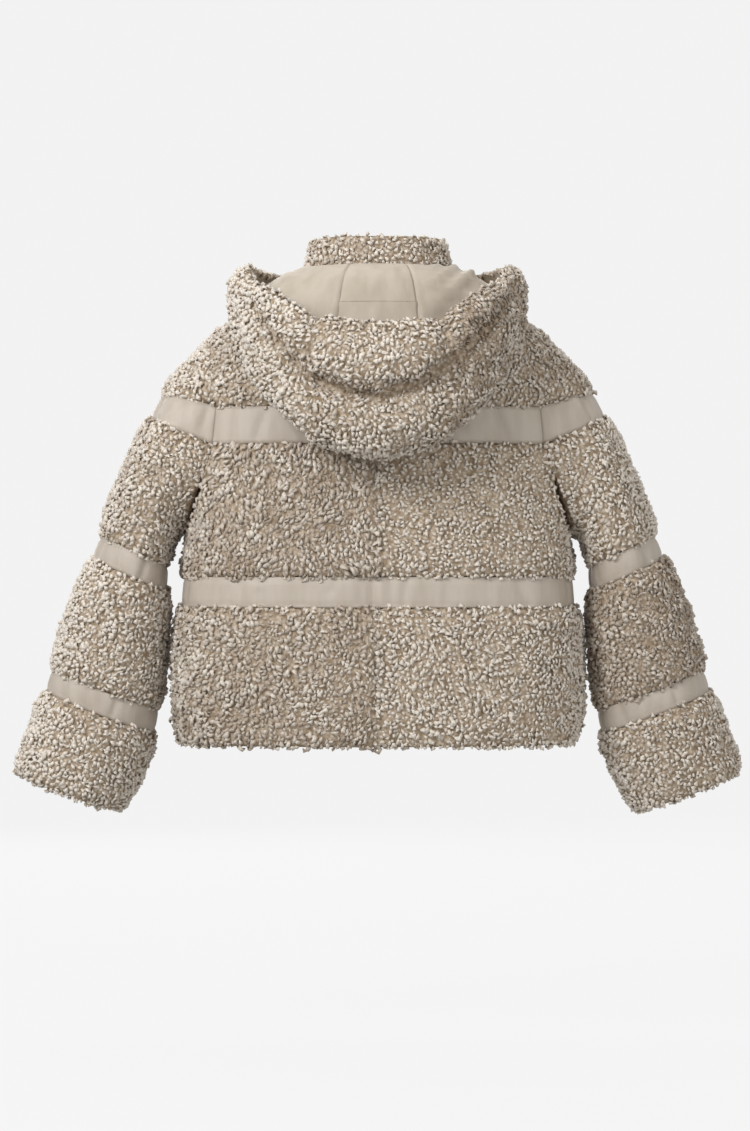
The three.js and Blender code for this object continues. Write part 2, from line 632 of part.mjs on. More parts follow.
function asSolid(geometry) {
  const bare = geometry.clone();
  bare.deleteAttribute('normal');
  bare.deleteAttribute('uv');
  const merged = mergeVertices(bare, 1e-4);
  return new wasm.Manifold(new wasm.Mesh({
    numProp: 3,
    vertProperties: new Float32Array(merged.attributes.position.array),
    triVerts: new Uint32Array(merged.index.array),
  }));
}

function fromSolid(name, solid, finish) {
  const { vertProperties, triVerts } = solid.getMesh();
  const geometry = new THREE.BufferGeometry();
  geometry.setAttribute('position', new THREE.Float32BufferAttribute(vertProperties, 3));
  geometry.setIndex(Array.from(triVerts));
  const mesh = new THREE.Mesh(geometry, finish);
  mesh.name = name;
  return mesh;
}

// A block between two corners.
function block(x0, y0, z0, x1, y1, z1) {
  const geometry = new THREE.BoxGeometry(x1 - x0, y1 - y0, z1 - z0);
  geometry.translate((x0 + x1) / 2, (y0 + y1) / 2, (z0 + z1) / 2);
  return asSolid(geometry);
}

// The top of the zip: where its strips end, and the middle of their thickness.
const zipTop = zipPoint(ZIP.tapeStart, 1, zipStations - 1);
const zipDepth = zipTop.y - ZIP.inset - ZIP.tape / 2;
const sliderFront = zipDepth + SLIDER.slot / 2 + SLIDER.plate;
const sliderBottom = zipTop.z + 2 * RUNNING_GAP + SLIDER.bridge - SLIDER.length;
const bailMiddle = sliderBottom + SLIDER.length / 2;
export const pullAxis = vector(0, sliderFront + RUNNING_GAP + PULL.bar / 2, bailMiddle);

function slider() {
  const half = SLIDER.width / 2;
  const top = sliderBottom + SLIDER.length;
  const back = zipDepth - SLIDER.slot / 2 - SLIDER.plate;
  const backPlate = block(-half, back, sliderBottom, half, zipDepth - SLIDER.slot / 2, top);
  const frontPlate = block(-half, zipDepth + SLIDER.slot / 2, sliderBottom, half, sliderFront, top);
  const bridgeHalf = SLIDER.bridgeWidth / 2;
  const bridge = block(-bridgeHalf, back, top - SLIDER.bridge, bridgeHalf, sliderFront, top);
  const bailTop = sliderFront + BAIL.height;
  const root = sliderFront - SLIDER.plate / 2;
  const [low, high] = [bailMiddle - BAIL.length / 2, bailMiddle + BAIL.length / 2];
  const wide = BAIL.width / 2;
  const bar = block(-wide, bailTop - BAIL.bar, low, wide, bailTop, high);
  const lowLeg = block(-wide, root, low, wide, bailTop, low + BAIL.bar);
  const highLeg = block(-wide, root, high - BAIL.bar, wide, bailTop, high);
  const pieces = [frontPlate, bridge, bar, lowLeg, highLeg];
  const solid = pieces.reduce((whole, piece) => whole.add(piece), backPlate);
  return fromSolid('zip_slider', solid, metalFinish);
}

// The pull hangs from the bail: an eye round the bail's bar, then a plain blade.
function pullTab() {
  const outline = new THREE.Shape();
  const half = PULL.width / 2;
  outline.moveTo(-half, PULL.bar / 2);
  outline.lineTo(-half, -PULL.length + half);
  outline.absarc(0, -PULL.length + half, half, Math.PI, 2 * Math.PI, false);
  outline.lineTo(half, PULL.bar / 2);
  outline.closePath();
  const eye = new THREE.Path();
  const eyeHalf = PULL.eyeWidth / 2;
  eye.moveTo(-eyeHalf, -PULL.bar / 2);
  eye.lineTo(eyeHalf, -PULL.bar / 2);
  eye.lineTo(eyeHalf, -PULL.bar / 2 - PULL.eye);
  eye.lineTo(-eyeHalf, -PULL.bar / 2 - PULL.eye);
  eye.closePath();
  outline.holes.push(eye);
  const settings = { depth: PULL.thickness, bevelEnabled: false, curveSegments: 6 };
  const geometry = new THREE.ExtrudeGeometry(outline, settings);
  const mesh = new THREE.Mesh(geometry, metalFinish);
  mesh.name = 'zip_pull';
  mesh.rotation.x = Math.PI / 2;
  mesh.position.set(0, pullAxis.y + PULL.thickness / 2, pullAxis.z);
  return mesh;
}

function zipBox() {
  const foot = zipPoint(ZIP.tapeStart, 1, 0);
  const middle = foot.y - ZIP.inset - ZIP.tape / 2;
  const top = foot.z - RUNNING_GAP;
  const [wide, deep] = [BOX.width / 2, BOX.depth / 2];
  const solid = block(-wide, middle - deep, top - BOX.height, wide, middle + deep, top);
  return fromSolid('zip_box', solid, metalFinish);
}

const coat = new THREE.Group();
coat.add(
  ...bodyPanels('yoke_fur', YOKE_ROWS, true, false),
  ...bodyPanels('upper_band', UPPER_BAND_ROWS, false, false),
  ...bodyPanels('chest_fur', CHEST_ROWS, true, true),
  ...bodyPanels('lower_band', LOWER_BAND_ROWS, false, false),
  ...bodyPanels('hem_fur', HEM_ROWS, true, true),
  ...sleeve(-1),
  ...sleeve(1),
  collar(),
  ...hood(),
  ...zip(),
  slider(),
  pullTab(),
  zipBox(),
);
export default coat;
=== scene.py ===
"""A short hooded jacket of curly faux fur bands and smooth cloth bands, dressed over its solids."""
import logging
import math
from dataclasses import dataclass, field
from enum import Enum

import bmesh
import bpy
import numpy as np
from mathutils import Matrix, Vector, noise
from mathutils.bvhtree import BVHTree
from mathutils.kdtree import KDTree


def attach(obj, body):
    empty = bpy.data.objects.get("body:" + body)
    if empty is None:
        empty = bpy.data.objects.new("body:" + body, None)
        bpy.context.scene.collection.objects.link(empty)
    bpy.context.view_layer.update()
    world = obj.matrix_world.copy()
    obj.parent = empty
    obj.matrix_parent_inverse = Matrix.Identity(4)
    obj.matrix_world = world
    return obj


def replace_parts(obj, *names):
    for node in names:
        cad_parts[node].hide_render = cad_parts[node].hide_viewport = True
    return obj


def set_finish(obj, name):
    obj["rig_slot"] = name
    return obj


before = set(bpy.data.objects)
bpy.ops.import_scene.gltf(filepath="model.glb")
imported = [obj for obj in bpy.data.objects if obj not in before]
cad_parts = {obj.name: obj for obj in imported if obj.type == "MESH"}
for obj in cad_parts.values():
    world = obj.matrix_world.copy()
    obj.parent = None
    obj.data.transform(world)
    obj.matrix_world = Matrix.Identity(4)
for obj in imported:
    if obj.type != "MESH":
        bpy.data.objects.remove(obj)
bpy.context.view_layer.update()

LOG = logging.getLogger("coat")
MM = 0.001
SAME_PLACE = 0.001 * MM  # corners closer than this are one
COAT = "coat"
PULL = "pull"
SLEEVE_DOWN = Vector((0.34, 0.0, -0.94))  # away from the shoulder, on the +X side


class Region(Enum):
    """The three kinds of face on a panel's closed wall."""

    OUTER = 0
    INNER = 1
    SEWN = 2


class Nap(Enum):
    """The way in which the pile of a panel lies."""

    DOWN = "down"
    LEFT_SLEEVE = "left sleeve"
    RIGHT_SLEEVE = "right sleeve"
    ROUND_HOOD = "round hood"


def linear(colour: str) -> tuple[float, float, float, float]:
    """Turns an sRGB hex colour to linear light.

    Args:
        colour: Six hex digits after a hash.

    Returns:
        Red, green, blue and a full alpha.
    """
    parts = [int(colour[i:i + 2], 16) / 255 for i in (1, 3, 5)]
    lit = [c / 12.92 if c <= 0.04045 else ((c + 0.055) / 1.055) ** 2.4 for c in parts]
    return (lit[0], lit[1], lit[2], 1.0)


def add_node(
    tree: bpy.types.NodeTree, kind: str, inputs: dict | None = None, **settings
) -> bpy.types.Node:
    """Adds one shader node with its settings, values and links.

    Args:
        tree: The material's node tree.
        kind: The node's type name.
        inputs: Socket name or number to a value, or to an output socket to link.
        settings: Plain properties of the node.

    Returns:
        The new node.
    """
    made = tree.nodes.new(kind)
    for key, value in settings.items():
        setattr(made, key, value)
    for socket, value in (inputs or {}).items():
        if isinstance(value, bpy.types.NodeSocket):
            tree.links.new(value, made.inputs[socket])
        else:
            made.inputs[socket].default_value = value
    return made


def new_material(name: str) -> tuple[bpy.types.Material, bpy.types.NodeTree]:
    """Makes an empty node material.

    Args:
        name: The real material's name.

    Returns:
        The material and its tree.
    """
    material = bpy.data.materials.new(name)
    material.use_nodes = True
    material.node_tree.nodes.clear()
    return material, material.node_tree


def finished(material: bpy.types.Material, inputs: dict) -> bpy.types.Material:
    """Adds the surface and the output to a material and gives it back."""
    tree = material.node_tree
    surface = add_node(tree, "ShaderNodeBsdfPrincipled", inputs)
    add_node(tree, "ShaderNodeOutputMaterial", {"Surface": surface.outputs["BSDF"]})
    return material


def set_stops(ramp: bpy.types.Node, stops: list[tuple[float, tuple]]) -> None:
    """Places the colours of a ramp.

    Args:
        ramp: A colour ramp node.
        stops: Position and colour of each stop.
    """
    elements = ramp.color_ramp.elements
    while len(elements) < len(stops):
        elements.new(1.0)
    for element, (position, colour) in zip(elements, stops):
        element.position = position
        element.color = colour


@dataclass(frozen=True)
class PileFinish:
    """Curly acrylic pile: matt fibres in tight locks, with painted shade at the roots and a painted
    highlight on their backs.
    """

    name: str = "bouclé acrylic pile"
    # root is painted shade at each lock's root, and crest is a painted highlight on its back; body is the
    # fibres' own colour
    root: str = "#b3a28c"
    body: str = "#e9dfd2"
    crest: str = "#f7f0e7"
    # shade is mixed in by each lock's tone, which is partly a random drift of colour and partly painted
    # shade
    shade: str = "#9a8772"
    roughness: float = 0.82
    fibre_mm: float = 0.9  # a real fibre is 0.03 mm; drawn coarse enough to show

    def build(self) -> bpy.types.Material:
        """Makes the pile's material: each lock's lift paints shade at its root and a highlight on its crest,
        and its tone mixes in the shade colour.

        Returns:
            The material.
        """
        material, tree = new_material(self.name)
        lift = add_node(tree, "ShaderNodeAttribute", attribute_name="lift")
        tone = add_node(tree, "ShaderNodeAttribute", attribute_name="tone")
        place = add_node(tree, "ShaderNodeTexCoord")
        # painted shade at the root (lift 0) and a painted highlight on the crest (lift 1)
        ramp = add_node(tree, "ShaderNodeValToRGB", {"Fac": lift.outputs["Fac"]})
        set_stops(ramp, [(0.0, linear(self.root)), (0.42, linear(self.body)), (1.0, linear(self.crest))])
        shaded = add_node(tree, "ShaderNodeMix", {
            "Factor": tone.outputs["Fac"], "A": ramp.outputs["Color"], "B": linear(self.shade),
        }, data_type="RGBA", blend_type="MULTIPLY")
        fibres = add_node(tree, "ShaderNodeTexNoise", {
            "Vector": place.outputs["Object"], "Scale": 1000 / self.fibre_mm / 2,
            "Detail": 3.0, "Roughness": 0.6,
        })
        bump = add_node(tree, "ShaderNodeBump", {
            "Strength": 0.7, "Distance": 0.9 * MM, "Height": fibres.outputs["Fac"],
        })
        return finished(material, {
            "Base Color": shaded.outputs["Result"], "Roughness": self.roughness,
            "Sheen Weight": 0.25, "Sheen Roughness": 0.45, "Specular IOR Level": 0.3,
            "Normal": bump.outputs["Normal"],
        })


@dataclass(frozen=True)
class PileGroundFinish:
    """The pile's dense ground between its locks: knitted base seen through short matt fibres, coloured
    darker than the locks to paint the shade between them.
    """

    name: str = "short pile ground"
    # pit is painted shade in the gaps between the cells; crest is a painted highlight on their middles
    pit_shade: str = "#9a8771"
    crest: str = "#d8cab8"
    lock_mm: float = 5.0

    def build(self) -> bpy.types.Material:
        """Makes the ground's material, a cell for each short lock, with painted shade in the gaps between
        cells and a painted highlight on their middles.

        Returns:
            The material.
        """
        material, tree = new_material(self.name)
        place = add_node(tree, "ShaderNodeTexCoord")
        cells = add_node(tree, "ShaderNodeTexVoronoi", {
            "Vector": place.outputs["Object"], "Scale": 1000 / self.lock_mm, "Smoothness": 0.4,
        }, feature="SMOOTH_F1")
        ramp = add_node(tree, "ShaderNodeValToRGB", {"Fac": cells.outputs["Distance"]})
        # a painted highlight at each cell's middle and painted shade at its edges
        set_stops(ramp, [(0.1, linear(self.crest)), (0.75, linear(self.pit_shade))])
        bump = add_node(tree, "ShaderNodeBump", {
            "Strength": 0.9, "Distance": 1.6 * MM, "Height": cells.outputs["Distance"],
        }, invert=True)
        return finished(material, {
            "Base Color": ramp.outputs["Color"], "Roughness": 0.95, "Specular IOR Level": 0.1,
            "Normal": bump.outputs["Normal"],
        })


@dataclass(frozen=True)
class WovenFinish:
    """Plain woven polyester: even crossing threads, smooth with a soft sheen."""

    name: str
    colour: str
    dark: str
    thread_mm: float = 0.9  # a real thread is 0.15 mm; drawn coarse enough to show
    roughness: float = 0.52
    sheen: float = 0.3
    relief_mm: float = 0.12

    def build(self) -> bpy.types.Material:
        """Makes the weave from two crossing sets of threads and a slow change of tone.

        Returns:
            The material.
        """
        material, tree = new_material(self.name)
        place = add_node(tree, "ShaderNodeTexCoord")
        scale = 1000 / self.thread_mm / 20 * 2 * math.pi
        warp, weft = (add_node(tree, "ShaderNodeTexWave", {
            "Vector": place.outputs["Object"], "Scale": scale, "Distortion": 0.6,
            "Detail": 1.0, "Detail Scale": 3.0,
        }, wave_type="BANDS", bands_direction=way) for way in "XZ")
        threads = add_node(tree, "ShaderNodeMath", {
            0: warp.outputs["Fac"], 1: weft.outputs["Fac"],
        }, operation="MULTIPLY")
        stretch = add_node(tree, "ShaderNodeMapping", {
            "Vector": place.outputs["Object"], "Scale": (60.0, 60.0, 14.0),
        })
        streaks = add_node(tree, "ShaderNodeTexNoise", {
            "Vector": stretch.outputs["Vector"], "Scale": 1.0, "Detail": 3.0, "Roughness": 0.5,
        })
        ramp = add_node(tree, "ShaderNodeValToRGB", {"Fac": streaks.outputs["Fac"]})
        set_stops(ramp, [(0.3, linear(self.dark)), (0.62, linear(self.colour))])
        woven = add_node(tree, "ShaderNodeMix", {
            "Factor": threads.outputs["Value"], "A": ramp.outputs["Color"], "B": linear("#f4efe8"),
        }, data_type="RGBA", blend_type="MULTIPLY")
        coarse = add_node(tree, "ShaderNodeBump", {
            "Strength": 0.35, "Distance": 1.5 * MM, "Height": streaks.outputs["Fac"],
        })
        fine = add_node(tree, "ShaderNodeBump", {
            "Strength": 0.5, "Distance": self.relief_mm * MM, "Height": threads.outputs["Value"],
            "Normal": coarse.outputs["Normal"],
        })
        return finished(material, {
            "Base Color": woven.outputs["Result"], "Roughness": self.roughness,
            "Sheen Weight": self.sheen, "Sheen Roughness": 0.35, "Specular IOR Level": 0.45,
            "Normal": fine.outputs["Normal"],
        })


@dataclass(frozen=True)
class MetalFinish:
    """Nickel-plated zinc: cast, plated and tumbled, so bright with a soft satin grain."""

    name: str = "satin nickel plate"
    colour: str = "#c9c4ba"
    worn: str = "#8f887b"
    roughness: float = 0.32

    def build(self) -> bpy.types.Material:
        """Makes the plate with fine grain and duller patches.

        Returns:
            The material.
        """
        material, tree = new_material(self.name)
        place = add_node(tree, "ShaderNodeTexCoord")
        patches = add_node(tree, "ShaderNodeTexNoise", {
            "Vector": place.outputs["Object"], "Scale": 260.0, "Detail": 4.0,
        })
        ramp = add_node(tree, "ShaderNodeValToRGB", {"Fac": patches.outputs["Fac"]})
        set_stops(ramp, [(0.3, linear(self.worn)), (0.6, linear(self.colour))])
        bump = add_node(tree, "ShaderNodeBump", {
            "Strength": 0.2, "Distance": 0.05 * MM, "Height": patches.outputs["Fac"],
        })
        return finished(material, {
            "Base Color": ramp.outputs["Color"], "Metallic": 1.0, "Roughness": self.roughness,
            "Normal": bump.outputs["Normal"],
        })


@dataclass(frozen=True)
class StudioFinish:
    """Matt pale paper sweep, evenly lit."""

    name: str = "matt paper sweep"
    colour: str = "#f5f5f5"
    paper: str = "#3c3c3c"
    glow: float = 0.95

    def build(self) -> bpy.types.Material:
        """Makes the paper with a faint tooth.

        Returns:
            The material.
        """
        material, tree = new_material(self.name)
        place = add_node(tree, "ShaderNodeTexCoord")
        tooth = add_node(tree, "ShaderNodeTexNoise", {"Vector": place.outputs["Object"], "Scale": 900.0})
        bump = add_node(tree, "ShaderNodeBump", {
            "Strength": 0.05, "Distance": 0.1 * MM, "Height": tooth.outputs["Fac"],
        })
        return finished(material, {
            "Base Color": linear(self.paper), "Roughness": 1.0, "Specular IOR Level": 0.0,
            "Emission Color": linear(self.colour), "Emission Strength": self.glow,
            "Normal": bump.outputs["Normal"],
        })


@dataclass
class Finishes:
    """Every material of the coat, made once."""

    pile: bpy.types.Material = field(default_factory=lambda: PileFinish().build())
    ground: bpy.types.Material = field(default_factory=lambda: PileGroundFinish().build())
    band: bpy.types.Material = field(default_factory=lambda: WovenFinish(
        "smooth polyester weave", "#c9c0b5", "#bcb2a6").build())
    lining: bpy.types.Material = field(default_factory=lambda: WovenFinish(
        "hood lining weave", "#c6bcae", "#b9ae9f", roughness=0.6).build())
    backing: bpy.types.Material = field(default_factory=lambda: WovenFinish(
        "knitted pile backing", "#b5a591", "#9f8e79", thread_mm=2.0, roughness=0.9,
        sheen=0.1, relief_mm=0.4).build())
    tape: bpy.types.Material = field(default_factory=lambda: WovenFinish(
        "woven zip tape", "#b3a693", "#a39581", thread_mm=1.2, roughness=0.7, relief_mm=0.2).build())
    metal: bpy.types.Material = field(default_factory=lambda: MetalFinish().build())
    thread: bpy.types.Material = field(default_factory=lambda: WovenFinish(
        "spun polyester thread", "#b9ad9d", "#a89b89", thread_mm=0.8, roughness=0.7).build())


def piece(name: str, mesh: bpy.types.Mesh, body: str, slot: str) -> bpy.types.Object:
    """Makes a mesh an object that rides on a body.

    Args:
        name: The piece's name.
        mesh: Its mesh, with its place in it.
        body: The body that carries it.
        slot: The material slot of the record that it takes its finish from.

    Returns:
        The object.
    """
    made = bpy.data.objects.new(name, mesh)
    bpy.context.scene.collection.objects.link(made)
    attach(made, body)
    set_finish(made, slot)
    return made


def solid_shape(node: str) -> bmesh.types.BMesh:
    """Copies a solid's faces and joins their corners."""
    shape = bmesh.new()
    shape.from_mesh(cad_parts[node].data)
    bmesh.ops.remove_doubles(shape, verts=shape.verts, dist=SAME_PLACE)
    return shape


def mesh_of(shape: bmesh.types.BMesh, name: str) -> bpy.types.Mesh:
    """Writes a shape to a new mesh and frees the shape."""
    mesh = bpy.data.meshes.new(name)
    shape.to_mesh(mesh)
    shape.free()
    return mesh


def arrays_of(shape: bmesh.types.BMesh) -> tuple[np.ndarray, np.ndarray]:
    """Writes a triangulated shape to arrays of points and triangles and frees it."""
    points = np.array([v.co for v in shape.verts], float)
    triangles = np.array([[v.index for v in f.verts] for f in shape.faces], int)
    shape.free()
    return points, triangles


def rounded_copy(node: str, sharp_degrees: float, edge_mm: float) -> bpy.types.Mesh:
    """Copies a small hard or stiff part and rounds its edges.

    Args:
        node: The part's solid.
        sharp_degrees: The least angle of an edge that is rounded.
        edge_mm: The width of the rounding.

    Returns:
        The part's mesh.
    """
    shape = solid_shape(node)
    bmesh.ops.dissolve_limit(shape, angle_limit=math.radians(1), verts=shape.verts, edges=shape.edges)
    sharp = [e for e in shape.edges
             if len(e.link_faces) == 2 and e.calc_face_angle() > math.radians(sharp_degrees)]
    bmesh.ops.bevel(shape, geom=sharp, offset=edge_mm * MM, segments=2, profile=0.5,
                    affect="EDGES", material=-1, clamp_overlap=True)
    return mesh_of(shape, node)


def smooth_step(value: float) -> float:
    """Eases a share from 0 to 1."""
    share = min(1.0, max(0.0, value))
    return share * share * (3 - 2 * share)


def all_walls() -> BVHTree:
    """Joins every solid in one search tree, for what lies against what.

    Returns:
        The tree.
    """
    joined = bmesh.new()
    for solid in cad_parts.values():
        joined.from_mesh(solid.data)
    tree = BVHTree.FromBMesh(joined)
    joined.free()
    return tree


@dataclass(frozen=True)
class Cut:
    """The flat cut of a panel in metres, and what it hangs from."""

    width: float
    length: float
    hangs_from: tuple[str, ...]
    area: float | None = None


@dataclass
class PanelWall:
    """A panel's closed wall, taken from its solid and sorted into outer, inner and sewn faces."""

    node: str
    depth_mm: float
    walls: BVHTree
    open_edge_gap: float = 1.5 * MM
    corner_angle: float = math.radians(40)  # between two sewn faces
    side_angle: float = math.radians(70)  # ends one side of the wall
    thickest: float = 1.45  # times the depth, as a ray may cross the wall at a slant

    def build(self, levels: int) -> bpy.types.Mesh:
        """Copies the solid, sorts its faces and refines it.

        Args:
            levels: How often each face is divided in four.

        Returns:
            The refined mesh, with the region as its faces' material number.
        """
        shape = solid_shape(self.node)
        sewn = self._sort(shape)
        bmesh.ops.join_triangles(
            shape, faces=shape.faces, cmp_materials=True,
            angle_face_threshold=math.radians(60), angle_shape_threshold=math.radians(80),
        )
        crease = shape.edges.layers.float.new("crease_edge")
        for edge in shape.edges:
            kinds = {face.material_index for face in edge.link_faces}
            corner = kinds == {Region.SEWN.value} and edge.calc_face_angle(0.0) > self.corner_angle
            if corner or Region.SEWN.value in kinds and len(kinds) > 1:
                edge[crease] = 1.0
        for face in shape.faces:
            face.smooth = True
        LOG.info("%s: %d sewn faces", self.node, sewn)
        return refine(mesh_of(shape, self.node + "_wall"), levels)

    def _sort(self, shape: bmesh.types.BMesh) -> int:
        """Marks each face with its region.

        Args:
            shape: The merged wall.

        Returns:
            The number of sewn faces.
        """
        tree = BVHTree.FromBMesh(shape)
        reach = self.thickest * self.depth_mm * MM
        rim = set()
        for face in shape.faces:
            middle = face.calc_center_median()
            hit = tree.ray_cast(middle - face.normal * 0.01 * MM, -face.normal, 0.2)
            if hit[3] is None or hit[3] > reach:
                rim.add(face)
        sides = []
        waiting = set(shape.faces) - rim
        while waiting:
            stack = [waiting.pop()]
            side = list(stack)
            while stack:
                for edge in stack.pop().edges:
                    if edge.calc_face_angle(0.0) > self.side_angle:
                        continue
                    for other in edge.link_faces:
                        if other in waiting:
                            waiting.discard(other)
                            stack.append(other)
                            side.append(other)
            sides.append((sum(face.calc_area() for face in side), side))
        sides.sort(key=lambda item: -item[0])
        for number, (_, side) in enumerate(sides):
            for face in side:
                face.material_index = (Region.OUTER if number == 0 else Region.INNER).value
            if number > 1:
                rim.update(side)
        sewn = 0
        for face in rim:
            start = face.calc_center_median() + face.normal * 0.02 * MM
            against = self.walls.ray_cast(start, face.normal, self.open_edge_gap)[3] is not None
            face.material_index = (Region.SEWN if against else Region.OUTER).value
            sewn += against
        return sewn


def refine(mesh: bpy.types.Mesh, levels: int) -> bpy.types.Mesh:
    """Divides a mesh smoothly and applies it.

    Args:
        mesh: The coarse mesh, whose creased edges stay sharp.
        levels: How often each face is divided in four.

    Returns:
        The refined mesh.
    """
    holder = bpy.data.objects.new("refining", mesh)
    bpy.context.scene.collection.objects.link(holder)
    divide = holder.modifiers.new("divide", "SUBSURF")
    divide.levels = divide.render_levels = levels
    divide.boundary_smooth = "PRESERVE_CORNERS"
    graph = bpy.context.evaluated_depsgraph_get()
    fine = bpy.data.meshes.new_from_object(
        holder.evaluated_get(graph), preserve_all_data_layers=True, depsgraph=graph)
    bpy.data.objects.remove(holder)
    return fine


@dataclass(frozen=True)
class Lock:
    """One curly lock of the pile: a tapered tube that rises, bends over and comes back down."""

    radius_mm: float
    thickness_mm: float
    turn: float  # degrees
    sideways_mm: float
    sides: int = 3
    steps: int = 3

    def build(self) -> tuple[np.ndarray, np.ndarray, np.ndarray]:
        """Spins a ring into the lock and tapers it.

        Returns:
            Its points, its triangles, and each point's lift from root to crest.
        """
        shape = bmesh.new()
        bmesh.ops.create_circle(shape, segments=self.sides, radius=self.thickness_mm * MM / 2)
        spun = bmesh.ops.spin(
            shape, geom=shape.edges[:], cent=(self.radius_mm * MM, 0, 0), axis=(0, 1, 0),
            dvec=(0, self.sideways_mm * MM / self.steps, 0), angle=math.radians(self.turn),
            steps=self.steps, use_merge=False, use_duplicate=False,
        )
        bmesh.ops.contextual_create(
            shape, geom=[e for e in spun["geom_last"] if isinstance(e, bmesh.types.BMEdge)])
        shape.verts.index_update()
        shape.verts.ensure_lookup_table()
        for ring in range(self.steps + 1):
            around = shape.verts[ring * self.sides:(ring + 1) * self.sides]
            middle = sum((v.co for v in around), Vector()) / self.sides
            share = ring / self.steps
            girth = 0.8 + 0.5 * math.sin(math.pi * min(1.0, share * 1.25)) - 0.45 * max(0.0, share - 0.6)
            for vertex in around:
                vertex.co = middle + (vertex.co - middle) * girth
        bmesh.ops.recalc_face_normals(shape, faces=shape.faces)
        bmesh.ops.triangulate(shape, faces=shape.faces)
        points, triangles = arrays_of(shape)
        lift = np.clip(points[:, 2] / points[:, 2].max(), 0, 1)
        return points, triangles, lift


LOCKS = (
    Lock(radius_mm=1.7, thickness_mm=4.0, turn=190, sideways_mm=0.8),
    Lock(radius_mm=1.4, thickness_mm=4.6, turn=165, sideways_mm=-1.2),
    Lock(radius_mm=2.1, thickness_mm=3.6, turn=215, sideways_mm=1.6),
    Lock(radius_mm=1.2, thickness_mm=5.0, turn=140, sideways_mm=0.2),
    Lock(radius_mm=2.5, thickness_mm=3.3, turn=235, sideways_mm=-2.0),
)


